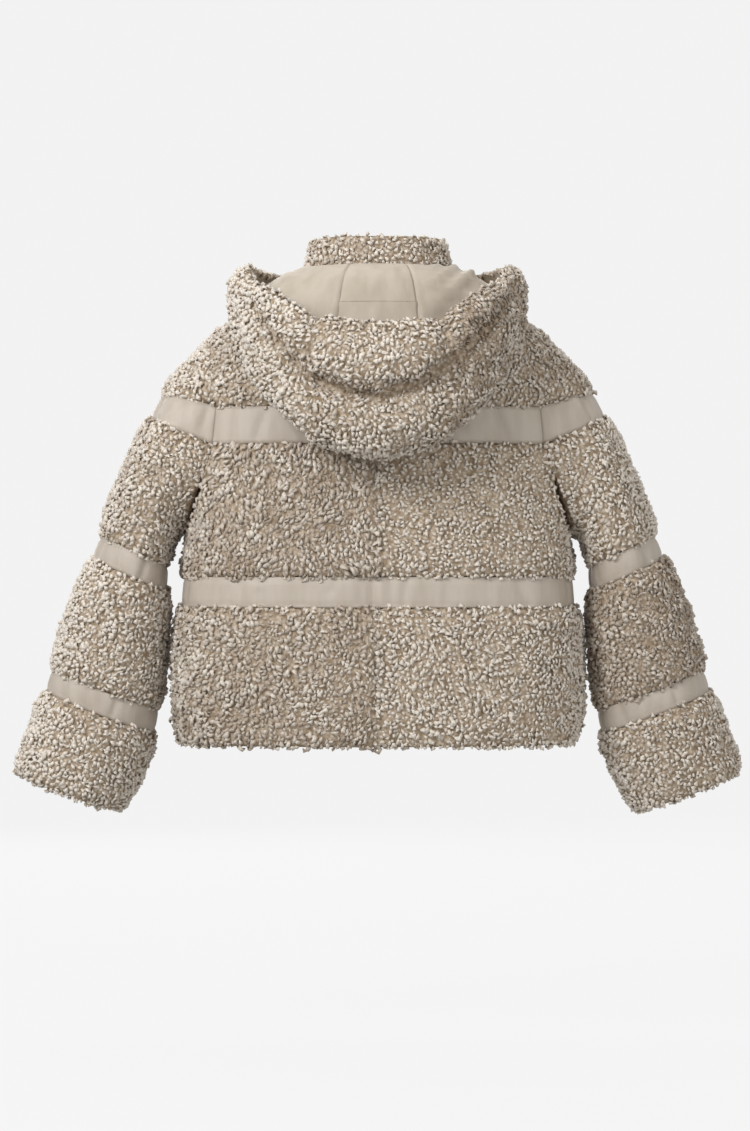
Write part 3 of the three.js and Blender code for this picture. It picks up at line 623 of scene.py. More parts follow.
@dataclass
class Pile:
    """The curly locks that stand on one panel's ground."""

    node: str
    nap: Nap
    tone: float
    size: float
    stretch: float
    pitch_mm: float
    swirl: float
    spread: float
    walls: BVHTree
    seed: int
    crowding: float = 0.84  # the least spacing, as a share of the pitch
    tries: int = 5  # for each lock that would fit
    clearance: float = 3.0 * MM
    spill_mm: float = 6.2
    clump_mm: float = 2.6
    clump_scale: float = 72.0
    # painted shade: sunken clumps take more of the shade colour, and raised clumps take less
    sunken_clump_shade: float = 0.7
    depth_of_tone: float = 0.7
    girths: tuple[float, float] = (0.78, 1.24)

    def build(self, ground: bpy.types.Mesh) -> bpy.types.Mesh:
        """Strews locks over the ground's outer faces and joins them.

        Args:
            ground: The panel's refined wall.

        Returns:
            One mesh of all the locks, with lift and tone on its points, from which the pile's material
            paints shade and highlight and mixes in random tone.
        """
        chance = np.random.default_rng(self.seed)
        places, normals = self._strew(ground, chance)
        kinds = chance.integers(0, len(LOCKS), len(places))
        points, triangles, lifts, tones = [], [], [], []
        base = 0
        places, normals = self._spill(ground, places, normals, chance)
        clumps = np.array([noise.noise(Vector(place) * self.clump_scale) for place in places])
        places += normals * (self.clump_mm * MM * clumps)[:, None]
        frames = self._frames(places, normals, chance)
        # tone: a random drift of colour, plus painted shade on sunken clumps and in the hood's fold
        tone = self._tone_and_shade(places, chance) - self.sunken_clump_shade * clumps
        tone = np.clip(self.depth_of_tone * tone, 0, 1)
        for number, lock in enumerate(LOCKS):
            chosen = np.flatnonzero(kinds == number)
            if not len(chosen):
                continue
            own, faces, lift = lock.build()
            moved = np.einsum("nij,vj->nvi", frames[chosen], own) + places[chosen][:, None, :]
            offsets = base + np.arange(len(chosen))[:, None, None] * len(own)
            points.append(moved.reshape(-1, 3))
            triangles.append((faces[None] + offsets).reshape(-1, 3))
            lifts.append(np.tile(lift, len(chosen)))
            tones.append(np.repeat(tone[chosen], len(own)))
            base += len(chosen) * len(own)
        return joined_mesh(self.node + "_pile", np.concatenate(points), np.concatenate(triangles), {
            "lift": np.concatenate(lifts), "tone": np.concatenate(tones),
        })

    def _strew(self, ground: bpy.types.Mesh, chance: np.random.Generator) -> tuple[np.ndarray, np.ndarray]:
        """Picks places no closer than the pitch, and none that press on a neighbour.

        Args:
            ground: The panel's refined wall.
            chance: The seeded generator.

        Returns:
            The places and their normals.
        """
        ground.calc_loop_triangles()
        kinds = np.zeros(len(ground.polygons), int)
        ground.polygons.foreach_get("material_index", kinds)
        corners = np.array([t.vertices[:] for t in ground.loop_triangles], int)
        owners = np.array([t.polygon_index for t in ground.loop_triangles], int)
        corners = corners[kinds[owners] == Region.OUTER.value]
        at = np.zeros(len(ground.vertices) * 3)
        ground.vertices.foreach_get("co", at)
        at = at.reshape(-1, 3)
        up = np.zeros(len(ground.vertices) * 3, np.float32)
        ground.vertex_normals.foreach_get("vector", up)
        up = up.reshape(-1, 3)
        a, b, c = at[corners[:, 0]], at[corners[:, 1]], at[corners[:, 2]]
        areas = np.linalg.norm(np.cross(b - a, c - a), axis=1) / 2
        spacing = self.pitch_mm * MM * self.crowding
        tries = int(areas.sum() / spacing ** 2 * self.tries)
        picked = chance.choice(len(corners), tries, p=areas / areas.sum())
        u, v = chance.random(tries), chance.random(tries)
        over = u + v > 1
        u[over], v[over] = 1 - u[over], 1 - v[over]
        w = 1 - u - v
        spots = w[:, None] * a[picked] + u[:, None] * b[picked] + v[:, None] * c[picked]
        tops = (w[:, None] * up[corners[picked, 0]] + u[:, None] * up[corners[picked, 1]]
                + v[:, None] * up[corners[picked, 2]])
        tops /= np.linalg.norm(tops, axis=1)[:, None]
        cells: dict[tuple[int, int, int], list[int]] = {}
        kept: list[int] = []
        near = [(i, j, k) for i in (-1, 0, 1) for j in (-1, 0, 1) for k in (-1, 0, 1)]
        keys = np.floor(spots / spacing).astype(int)
        for index in range(tries):
            x, y, z = keys[index]
            spot = spots[index]
            if any(
                (spots[other] - spot) @ (spots[other] - spot) < spacing ** 2
                for i, j, k in near for other in cells.get((x + i, y + j, z + k), ())
            ):
                continue
            cells.setdefault((x, y, z), []).append(index)
            kept.append(index)
        # the bare bottom of the hood's fold lets the darker ground show through as painted shade
        if self.nap is Nap.ROUND_HOOD:
            bare = chance.random(tries)
            kept = [index for index in kept if bare[index] > HOOD_FOLD.bareness(Vector(spots[index]))]
        free = [index for index in kept if self._is_free(spots[index], tops[index])]
        return spots[free], tops[free]

    def _is_free(self, spot: np.ndarray, top: np.ndarray) -> bool:
        """Tells whether a lock has room above its own wall's surface.

        Args:
            spot: The root's place.
            top: The direction away from the wall.

        Returns:
            False where a neighbour presses the pile flat.
        """
        ahead = Vector(top)
        step = ahead * 0.05 * MM
        own_surface = self.walls.ray_cast(Vector(spot) + step, ahead, 8 * MM)
        if own_surface[3] is None:
            return True
        neighbour = self.walls.ray_cast(own_surface[0] + step, ahead, self.clearance)
        return neighbour[3] is None

    def _spill(
        self, ground: bpy.types.Mesh, places: np.ndarray, normals: np.ndarray, chance: np.random.Generator
    ) -> tuple[np.ndarray, np.ndarray]:
        """Lets the locks along the panel's edges hang over them by uneven amounts.

        Args:
            ground: The panel's refined wall.
            places: The roots.
            normals: The directions away from the wall.
            chance: The seeded generator.

        Returns:
            The roots and directions after the change.
        """
        kinds: list[set[int]] = [set() for _ in ground.vertices]
        for face in ground.polygons:
            for vertex in face.vertices:
                kinds[vertex].add(face.material_index)
        edge = [v for v, found in enumerate(kinds)
                if Region.SEWN.value in found or found == {Region.OUTER.value, Region.INNER.value}]
        rim = KDTree(len(edge))
        for vertex in edge:
            rim.insert(ground.vertices[vertex].co, vertex)
        rim.balance()
        places, normals = places.copy(), normals.copy()
        reach = self.spill_mm * MM * 2
        for index, (place, normal) in enumerate(zip(places, normals)):
            nearest, _, gap = rim.find(place)
            if nearest is None or gap > reach:
                continue
            up = Vector(normal)
            towards = nearest - Vector(place)
            towards -= up * towards.dot(up)
            if towards.length < 0.1 * MM:
                continue
            towards.normalize()
            share = (1 - gap / reach) * chance.uniform(0.4, 1.1)
            share *= 1 + 0.9 * noise.noise(Vector(place) * 30)
            places[index] += np.array(towards) * self.spill_mm * MM * 0.6 * share
            normals[index] = np.array((up + towards * 0.8 * share).normalized())
        return places, normals

    def _frames(self, places: np.ndarray, normals: np.ndarray, chance: np.random.Generator) -> np.ndarray:
        """Turns, tilts and sizes each lock along the panel's nap.

        Args:
            places: The roots.
            normals: The directions away from the wall.
            chance: The seeded generator.

        Returns:
            One 3 by 3 matrix for each lock.
        """
        frames = np.zeros((len(places), 3, 3))
        for index, (place, normal) in enumerate(zip(places, normals)):
            up = Vector(normal)
            flow = self._flow(Vector(place))
            ahead = flow - up * flow.dot(up)
            if ahead.length < 0.05:
                ahead = up.orthogonal()
            ahead.normalize()
            swirl = noise.noise(Vector(place) * 17 + Vector((self.seed, 0, 0))) * self.swirl
            angle = swirl + chance.normal(0, self.spread)
            ahead.rotate(Matrix.Rotation(angle, 3, up))
            aside = up.cross(ahead)
            lean = Matrix.Rotation(chance.normal(0, 0.28), 3, ahead) @ Matrix.Rotation(
                chance.normal(0.1, 0.25), 3, aside)
            patch = 1 + 0.24 * noise.noise(Vector(place) * 55)
            fold = HOOD_FOLD.share(Vector(place))[0] if self.nap is Nap.ROUND_HOOD else 0.0
            size = self.size * patch * chance.uniform(*self.girths) * (1 - 0.25 * fold)
            turned = Matrix((ahead * self.stretch, aside, up)).transposed()
            frames[index] = np.array(lean @ turned) * size
        return frames

    def _flow(self, place: Vector) -> Vector:
        """Gives the nap's direction at a place."""
        if self.nap is Nap.DOWN:
            return Vector((0.25 * math.sin(place.x * 9), 0, -1))
        if self.nap is Nap.ROUND_HOOD:
            return Vector((place.x * 6, -0.3, -1))
        side = -1 if self.nap is Nap.LEFT_SLEEVE else 1
        return Vector((side * SLEEVE_DOWN.x, 0, SLEEVE_DOWN.z))

    def _tone_and_shade(self, places: np.ndarray, chance: np.random.Generator) -> np.ndarray:
        """Gives each lock its share of the darker tone: slow random drifts, plus painted shade along the
        hood's fold.
        """
        drift = np.array([noise.noise(Vector(p) * 11) + 0.6 * noise.noise(Vector(p) * 37) for p in places])
        if self.nap is Nap.ROUND_HOOD:
            # painted shade along the bottom of the hood's fold
            drift += np.array([5.0 * HOOD_FOLD.share(Vector(p))[0] for p in places])
        return self.tone + 0.24 * drift + chance.normal(0, 0.12, len(places))


def joined_mesh(
    name: str, points: np.ndarray, triangles: np.ndarray, shares: dict[str, np.ndarray]
) -> bpy.types.Mesh:
    """Joins many small shapes from arrays in one mesh.

    Args:
        name: The mesh's name.
        points: All the points.
        triangles: Three point numbers for each face.
        shares: A value for each point, by attribute name.

    Returns:
        The mesh, smooth all over.
    """
    mesh = bpy.data.meshes.new(name)
    mesh.vertices.add(len(points))
    mesh.vertices.foreach_set("co", points.ravel())
    mesh.loops.add(triangles.size)
    mesh.loops.foreach_set("vertex_index", triangles.ravel())
    mesh.polygons.add(len(triangles))
    mesh.polygons.foreach_set("loop_start", np.arange(0, triangles.size, 3))
    for label, values in shares.items():
        mesh.attributes.new(label, "FLOAT", "POINT").data.foreach_set("value", values.astype(np.float32))
    mesh.update(calc_edges=True)
    mesh.polygons.foreach_set("use_smooth", np.ones(len(triangles), bool))
    return mesh


@dataclass(frozen=True)
class HoodFold:
    """The deep fold across the hanging hood, under the roll of its face edge."""

    line_mm: tuple[tuple[float, float], ...] = (  # x and z, from left to right
        (-150, -8), (-126, -44), (-82, -98), (-40, -117), (0, -124),
        (44, -108), (88, -82), (130, -38), (152, -4),
    )
    depth_mm: float = 9.0
    roll_mm: float = 14.0
    belly_mm: float = 6.0
    width_mm: float = 8.0
    nearest_mm: float = 160.0  # from the neck's axis, so that only the hood's back is folded
    fade_from_mm: float = 118.0  # sideways, where the fold starts to run out
    fade_mm: float = 40.0

    def bareness(self, place: Vector) -> float:
        """Gives the chance that a lock is left out, which is high at the fold's bottom, so that the darker
        ground shows there as painted shade.
        """
        return 0.8 * smooth_step((self.share(place)[0] - 0.7) / 0.25)

    def share(self, place: Vector) -> tuple[float, float]:
        """Finds how deep a place lies in the fold, and how far the cloth swells there.

        Args:
            place: A point on the hood's outer side.

        Returns:
            The share of the fold, and the swelling in millimetres.
        """
        x, z = place.x / MM, place.z / MM
        if place.y > 0 or math.hypot(place.x, place.y) / MM < self.nearest_mm:
            return 0.0, 0.0
        across, levels = zip(*self.line_mm)
        over = z - float(np.interp(x, across, levels))
        fold = math.exp(-(over / self.width_mm) ** 2)
        sides = 1 - smooth_step((abs(x) - self.fade_from_mm) / self.fade_mm)
        roll = smooth_step((over - 1) / 11) * (1 - 0.55 * smooth_step((over - 24) / 40))
        belly = smooth_step((-over - 6) / 18) * (1 - smooth_step((-over - 40) / 40))
        return fold * sides, (self.roll_mm * roll + self.belly_mm * belly) * (0.35 + 0.65 * sides)


HOOD_FOLD = HoodFold()


@dataclass(frozen=True)
class FurPanel:
    """A panel of curly faux fur: its knitted ground and the locks on it."""

    node: str
    cut: Cut
    nap: Nap = Nap.DOWN
    # share of the shade colour on this panel's locks: partly the fur's own tone, partly painted light and
    # shade set to the brightness of each region as lit
    tone: float = 0.4
    size: float = 1.15
    stretch: float = 1.05
    pitch_mm: float = 4.95
    depth_mm: float = 11.0
    sunk_mm: float = 3.3
    swirl: float = 2.0
    spread: float = 0.7
    levels: int = 1

    def build(self, finishes: Finishes, walls: BVHTree, seed: int) -> list[bpy.types.Object]:
        """Makes the panel's ground and pile and puts them in the solid's place.

        Args:
            finishes: The coat's materials.
            walls: All the solids.
            seed: The panel's own seed.

        Returns:
            The ground and the pile.
        """
        mesh = PanelWall(self.node, self.depth_mm, walls).build(self.levels)
        self._sink(mesh)
        for material in (finishes.ground, finishes.backing, finishes.backing):
            mesh.materials.append(material)
        ground = piece(self.node + "_ground", mesh, COAT, "fur")
        strewn = Pile(self.node, self.nap, self.tone, self.size, self.stretch, self.pitch_mm,
                      self.swirl, self.spread, walls, seed)
        pile_mesh = strewn.build(mesh)
        pile_mesh.materials.append(finishes.pile)
        pile = piece(self.node + "_pile", pile_mesh, COAT, "fur")
        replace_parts(ground, self.node)
        LOG.info("%s: %d triangles of pile", self.node, len(pile_mesh.polygons))
        return [ground, pile]

    def _sink(self, mesh: bpy.types.Mesh) -> None:
        """Lowers the outer faces by the pile's height, less at the thin edges, with soft lumps.

        Args:
            mesh: The panel's refined wall.
        """
        shape = bmesh.new()
        shape.from_mesh(mesh)
        tree = BVHTree.FromBMesh(shape)
        moves = {}
        for vertex in shape.verts:
            kinds = {face.material_index for face in vertex.link_faces}
            if kinds != {Region.OUTER.value}:
                continue
            hit = tree.ray_cast(vertex.co - vertex.normal * 0.02 * MM, -vertex.normal, 0.03)
            thick = min(hit[3] or 0.0, self.depth_mm * MM * 1.2)
            lump = 0.7 * MM * noise.noise(vertex.co * 40)
            fold, swell = HOOD_FOLD.share(vertex.co) if self.nap is Nap.ROUND_HOOD else (0.0, 0.0)
            sunk = min(self.sunk_mm * MM, 0.42 * thick) + fold * HOOD_FOLD.depth_mm * MM
            moves[vertex] = vertex.normal * (lump + swell * MM - min(sunk, 0.85 * thick))
        for vertex, move in moves.items():
            vertex.co += move
        shape.to_mesh(mesh)
        shape.free()
        mesh.update()


@dataclass(frozen=True)
class Crease:
    """A soft trough or ridge across a band, at an angle round the piece's axis."""

    angle: float  # degrees from the back, towards +X
    depth_mm: float  # below zero for a ridge
    width_mm: float
    lean: float = 0.0  # degrees per millimetre along the axis
    start: float = 0.0
    end: float = 1.0


@dataclass(frozen=True)
class Fold:
    """A soft trough or ridge along a line, placed as seen from behind the coat."""

    start_mm: tuple[float, float]  # x and z
    end_mm: tuple[float, float]
    depth_mm: float  # below zero for a ridge
    width_mm: float
    farthest_mm: float = 165.0  # from the neck's axis, so that only the wall that shows is folded

    def depth(self, place: Vector) -> float:
        """Gives the fold's depth at a place.

        Args:
            place: A point of the cloth.

        Returns:
            The depth in millimetres.
        """
        if place.y > 0 or math.hypot(place.x, place.y) > self.farthest_mm * MM:
            return 0.0
        at = np.array([place.x, place.z]) / MM
        start, end = np.array(self.start_mm), np.array(self.end_mm)
        line = end - start
        share = float(np.clip((at - start) @ line / (line @ line), 0, 1))
        away = float(np.linalg.norm(at - start - share * line))
        return self.depth_mm * math.exp(-(away / self.width_mm) ** 2)


@dataclass(frozen=True)
class ClothPanel:
    """A smooth cloth panel: a thin shell on its solid, with listed creases and sewn edges."""

    node: str
    cut: Cut
    creases: tuple[Crease, ...] = ()
    centre: tuple[float, float, float] = (0.0, 0.0, 0.0)
    axis: tuple[float, float, float] = (0.0, 0.0, 1.0)
    depth_mm: float = 2.0
    folds: tuple[Fold, ...] = ()
    crown_mm: float = 1.3
    pucker_mm: float = 0.5
    crease_force: float = 2.2
    crease_fade: float = 0.25  # of the band's height
    levels: int = 3
    lining: bool = False

    def build(self, finishes: Finishes, walls: BVHTree) -> bpy.types.Object:
        """Makes the shell, creases it and puts it in the solid's place.

        Args:
            finishes: The coat's materials.
            walls: All the solids.

        Returns:
            The shell.
        """
        mesh = PanelWall(self.node, self.depth_mm, walls).build(self.levels)
        self._shape(mesh)
        cloth = finishes.lining if self.lining else finishes.band
        for _ in Region:
            mesh.materials.append(cloth)
        shell = piece(self.node + "_cloth", mesh, COAT, "cloth")
        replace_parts(shell, self.node)
        LOG.info("%s: %d faces of cloth", self.node, len(mesh.polygons))
        return shell

    def _shape(self, mesh: bpy.types.Mesh) -> None:
        """Lays the crown, the creases and the sewing's small puckers on the shell.

        Args:
            mesh: The panel's refined wall.
        """
        shape = bmesh.new()
        shape.from_mesh(mesh)
        edge_places = [v.co.copy() for v in shape.verts
                       if any(f.material_index == Region.SEWN.value for f in v.link_faces)]
        if not edge_places:
            shape.free()
            return
        from_edge = np.array([[*p] for p in edge_places])
        places = np.array([[*v.co] for v in shape.verts])
        axis = Vector(self.axis).normalized()
        start = axis.orthogonal() if abs(axis.y) > 0.9 else Vector((0, -1, 0))
        back = (start - axis * start.dot(axis)).normalized()
        side = axis.cross(back)
        if side.x < 0:
            side.negate()
        along = (places - np.array(self.centre)) @ np.array(axis)
        low, high = along.min(), along.max()
        moves = np.zeros(len(places))
        for index, vertex in enumerate(shape.verts):
            off = vertex.co - Vector(self.centre)
            angle = math.degrees(math.atan2(off.dot(side), off.dot(back)))
            flat = off - axis * off.dot(axis)
            gap = math.sqrt(((from_edge - places[index]) ** 2).sum(axis=1).min())
            inside = smooth_step(gap / (9 * MM))
            share = (along[index] - low) / (high - low)
            move = self.crown_mm * inside
            near = smooth_step(gap / (2 * MM)) * (1 - smooth_step(gap / (12 * MM)))
            ripple = noise.noise(Vector((angle * 0.55, share * 3, self.centre[0] * 9)))
            move -= self.pucker_mm * near * (0.5 + ripple)
            move -= sum(fold.depth(vertex.co) for fold in self.folds)
            for crease in self.creases:
                at = crease.angle + crease.lean * (share - 0.5) * 40
                away = abs((angle - at + 180) % 360 - 180) * math.pi / 180 * flat.length / MM
                if away > 4 * crease.width_mm:
                    continue
                opening = smooth_step((share - crease.start) / self.crease_fade) if crease.start > 0 else 1.0
                closing = smooth_step((crease.end - share) / self.crease_fade) if crease.end < 1 else 1.0
                hold = smooth_step(gap / (3 * MM)) * opening * closing
                trough = math.exp(-(away / crease.width_mm) ** 2)
                move -= self.crease_force * crease.depth_mm * trough * hold
            moves[index] = move * MM
        outer = [any(f.material_index == Region.OUTER.value for f in v.link_faces) for v in shape.verts]
        steps = [v.normal * (moves[i] if outer[i] else -moves[i]) for i, v in enumerate(shape.verts)]
        for vertex, step in zip(shape.verts, steps):
            vertex.co += step
        shape.to_mesh(mesh)
        shape.free()
        mesh.update()


@dataclass(frozen=True)
class Body:
    """The back and the two fronts, from the yoke to the hem."""

    furs: tuple[FurPanel, ...] = (
        # tone per panel: partly the fur's own tone, partly painted light and shade matching each region's
        # brightness as lit
        FurPanel("back_yoke_fur", Cut(0.43, 0.18, ("collar",), 0.074), tone=0.35),
        FurPanel("front_yoke_fur_left", Cut(0.21, 0.155, ("collar",)), tone=0.35),
        FurPanel("front_yoke_fur_right", Cut(0.21, 0.155, ("collar",)), tone=0.4),
        FurPanel("back_chest_fur_left", Cut(0.26, 0.16, ("back_upper_band",)), tone=0.5, stretch=1.3,
                 swirl=1.1, spread=0.45),
        FurPanel("back_chest_fur_right", Cut(0.26, 0.16, ("back_upper_band",)), tone=-0.05, stretch=0.9,
                 size=1.08),
        FurPanel("front_chest_fur_left", Cut(0.25, 0.16, ("front_upper_band_left",)), tone=0.45),
        FurPanel("front_chest_fur_right", Cut(0.25, 0.16, ("front_upper_band_right",)), tone=0.5),
        FurPanel("back_hem_fur_left", Cut(0.31, 0.17, ("back_lower_band",)), tone=0.5, stretch=1.15),
        FurPanel("back_hem_fur_right", Cut(0.31, 0.17, ("back_lower_band",)), tone=-0.1),
        FurPanel("front_hem_fur_left", Cut(0.30, 0.17, ("front_lower_band_left",)), tone=0.45),
        FurPanel("front_hem_fur_right", Cut(0.30, 0.17, ("front_lower_band_right",)), tone=0.45),
    )
    bands: tuple[ClothPanel, ...] = (
        ClothPanel("back_upper_band", Cut(0.41, 0.046, ("back_yoke_fur",)), (
            Crease(-52, 1.0, 5, 0.1), Crease(-36, 0.6, 8), Crease(-20, 0.8, 6, -0.1, 0.0, 0.7),
            Crease(2, 0.9, 5), Crease(21, 0.7, 9, 0.1), Crease(40, 1.0, 6, 0.0, 0.3, 1.0),
            Crease(54, 1.1, 5, -0.1),
        )),
        ClothPanel("front_upper_band_left", Cut(0.19, 0.046, ("front_yoke_fur_left",)), (
            Crease(-165, 0.9, 5, 0.1), Crease(-148, 0.7, 8), Crease(-132, 1.0, 6, -0.1),
        )),
        ClothPanel("front_upper_band_right", Cut(0.19, 0.046, ("front_yoke_fur_right",)), (
            Crease(167, 0.9, 5, -0.1), Crease(151, 0.6, 9), Crease(135, 1.0, 5, 0.1),
        )),
        ClothPanel("back_lower_band", Cut(0.60, 0.038, ("back_chest_fur_left",)), (
            Crease(-80, 1.0, 6), Crease(-61, 1.2, 7, 0.1), Crease(-52, 0.7, 5, 0.0, 0.0, 0.7),
            Crease(-38, 0.6, 8), Crease(-24, 0.8, 5, 0.1, 0.3, 1.0), Crease(-11, 0.9, 4),
            Crease(-7.5, 0.9, 3), Crease(-3.9, 1.9, 2.4), Crease(-1.5, 0.8, 3.5),
            Crease(6, 0.9, 4), Crease(14, 1.0, 4, 0.1), Crease(33, 0.5, 9), Crease(49, 0.9, 6),
            Crease(60, 1.2, 7, -0.1), Crease(79, 1.0, 6),
        )),
        ClothPanel("front_lower_band_left", Cut(0.29, 0.038, ("front_chest_fur_left",)), (
            Crease(-168, 0.9, 5), Crease(-150, 0.7, 8, 0.1), Crease(-131, 1.0, 6), Crease(-112, 0.9, 7),
        )),
        ClothPanel("front_lower_band_right", Cut(0.29, 0.038, ("front_chest_fur_right",)), (
            Crease(169, 0.8, 5), Crease(153, 0.8, 7, -0.1), Crease(128, 0.9, 7), Crease(109, 1.1, 6),
        )),
    )

    def build(self, finishes: Finishes, walls: BVHTree) -> None:
        """Builds the body's fur and cloth.

        Args:
            finishes: The coat's materials.
            walls: All the solids.
        """
        for number, panel in enumerate(self.furs):
            panel.build(finishes, walls, 11 + number)
        for panel in self.bands:
            panel.build(finishes, walls)


@dataclass(frozen=True)
class Sleeve:
    """One sleeve, from its cap to the cuff."""

    side: str
    # tone of each fur panel, cap to cuff: partly the fur's own tone, partly painted light and shade matching
    # each region's brightness as lit
    tones: tuple[float, float, float, float]
    seed: int
    creases: tuple[Crease, ...] = (
        Crease(-150, 1.0, 6), Crease(-115, 0.8, 8, 0.1), Crease(-74, 1.2, 6, -0.1), Crease(-40, 0.9, 5),
        Crease(-12, 0.8, 7, 0.1), Crease(18, 1.1, 5), Crease(52, 0.8, 8, 0.0, 0.2, 1.0),
        Crease(88, 1.1, 6, 0.1), Crease(124, 0.9, 7), Crease(160, 1.2, 5, -0.1),
    )
    middles: tuple[tuple[float, float, float], ...] = (
        (0.232, 0.002, -0.146), (0.299, 0.012, -0.315), (0.333, 0.02, -0.481),
    )

    def build(self, finishes: Finishes, walls: BVHTree) -> None:
        """Builds the sleeve's fur and cloth.

        Args:
            finishes: The coat's materials.
            walls: All the solids.
        """
        way = -1 if self.side == "left" else 1
        nap = Nap.LEFT_SLEEVE if way < 0 else Nap.RIGHT_SLEEVE
        name = f"sleeve_{self.side}_"
        axis = (way * SLEEVE_DOWN.x, 0.0, SLEEVE_DOWN.z)
        furs = (
            FurPanel(name + "cap_fur", Cut(0.20, 0.13, ("back_yoke_fur",), 0.0175), nap, self.tones[0]),
            FurPanel(name + "upper_fur", Cut(0.48, 0.17, (name + "upper_band",), 0.058), nap, self.tones[1]),
            FurPanel(name + "forearm_fur", Cut(0.46, 0.145, (name + "middle_band",)), nap, self.tones[2]),
            FurPanel(name + "cuff_fur", Cut(0.40, 0.13, (name + "lower_band",)), nap, self.tones[3]),
        )
        for number, panel in enumerate(furs):
            panel.build(finishes, walls, self.seed + number)
        cuts = (
            ("upper_band", Cut(0.29, 0.046, (name + "cap_fur",), 0.0115)),
            ("middle_band", Cut(0.42, 0.031, (name + "upper_fur",))),
            ("lower_band", Cut(0.44, 0.031, (name + "forearm_fur",))),
        )
        for (band, cut), middle in zip(cuts, self.middles):
            centre = (way * middle[0], middle[1], middle[2])
            ClothPanel(name + band, cut, self.creases, centre, axis, crown_mm=1.6).build(finishes, walls)


@dataclass(frozen=True)
class Neck:
    """The stand collar and the hood that hangs behind it, with the hood's lining."""

    seam_mm: float = -11.0
    stitch_pitch_mm: float = 3.0
    collar: FurPanel = FurPanel("collar", Cut(0.54, 0.078, ("back_yoke_fur",)), tone=0.3, pitch_mm=4.9,
                                size=1.1)
    hood: tuple[FurPanel, ...] = (
        # the hood's tones rise from left to right: partly the fur's own tone, partly painted shade on the
        # right, away from the key light
        FurPanel("hood_fur_left", Cut(0.36, 0.30, ("collar",), 0.072), Nap.ROUND_HOOD, -0.1, 1.18,
                 depth_mm=9.0, sunk_mm=3.0),
        FurPanel("hood_fur_centre", Cut(0.155, 0.39, ("collar",)), Nap.ROUND_HOOD, 0.15, 1.15,
                 depth_mm=9.0, sunk_mm=3.0),
        FurPanel("hood_fur_right", Cut(0.36, 0.30, ("collar",), 0.072), Nap.ROUND_HOOD, 0.6, 1.15,
                 depth_mm=9.0, sunk_mm=3.0),
    )
    lining: tuple[ClothPanel, ...] = (
        ClothPanel("hood_lining_left", Cut(0.34, 0.28, ("hood_fur_left",), 0.063), depth_mm=1.6, folds=(
            Fold((-106, 22), (-66, -16), 2.0, 8), Fold((-88, 34), (-56, 12), 1.6, 6),
            Fold((-60, -14), (-52, -30), 1.6, 5),
        ), crown_mm=0.0, levels=2, lining=True),
        ClothPanel("hood_lining_centre", Cut(0.145, 0.36, ("hood_fur_centre",)), depth_mm=1.6, folds=(
            Fold((-46, -14), (46, -13), 1.3, 1.8), Fold((-30, 20), (-22, -6), 0.8, 8),
            Fold((18, 24), (30, -8), 1.0, 7), Fold((2, -20), (-8, -42), 1.0, 6),
        ), crown_mm=0.0, levels=3, lining=True),
        ClothPanel("hood_lining_right", Cut(0.34, 0.28, ("hood_fur_right",), 0.063), depth_mm=1.6, folds=(
            Fold((110, 28), (64, -16), 6.5, 4.6), Fold((92, 36), (58, 6), 5.0, 4.2),
            Fold((72, 38), (54, 20), 2.5, 4.0), Fold((58, -12), (50, -34), 2.0, 4.0),
        ), crown_mm=0.0, levels=2, lining=True),
    )

    def build(self, finishes: Finishes, walls: BVHTree) -> None:
        """Builds the collar, the hood and its lining.

        Args:
            finishes: The coat's materials.
            walls: All the solids.
        """
        self.collar.build(finishes, walls, 71)
        for number, panel in enumerate(self.hood):
            panel.build(finishes, walls, 72 + number)
        linings = [panel.build(finishes, walls) for panel in self.lining]
        self._stitch(linings[1], finishes)

    def _stitch(self, lining: bpy.types.Object, finishes: Finishes) -> None:
        """Sews the row of stitches across the lining's centre panel.

        Args:
            lining: The panel's shell.
            finishes: The coat's materials.
        """
        shape = bmesh.new()
        shape.from_mesh(lining.data)
        tree = BVHTree.FromBMesh(shape)
        shape.free()
        stitch = bmesh.new()
        bmesh.ops.create_icosphere(stitch, subdivisions=1, radius=0.5 * MM)
        bmesh.ops.scale(stitch, vec=(2.3, 0.9, 0.9), verts=stitch.verts)
        own, faces = arrays_of(stitch)
        points, triangles = [], []
        for offset_mm in np.arange(-44, 44, self.stitch_pitch_mm):
            start = Vector((offset_mm * MM, -0.175, self.seam_mm * MM))
            spot, normal, _, _ = tree.ray_cast(start, Vector((0, 1, 0)), 0.12)
            if spot is None:
                continue
            across = Vector((1, 0, 0)).cross(normal).cross(normal).normalized()
            turn = np.array(Matrix((across, normal.cross(across), normal)).transposed())
            triangles.append(faces + len(points) * len(own))
            points.append(own @ turn.T + np.array(spot + normal * 0.25 * MM))
        mesh = joined_mesh("lining_stitches", np.concatenate(points), np.concatenate(triangles), {})
        mesh.materials.append(finishes.thread)
        piece("hood_lining_stitches", mesh, COAT, "cloth")
        LOG.info("hood lining: %d stitches", len(points))


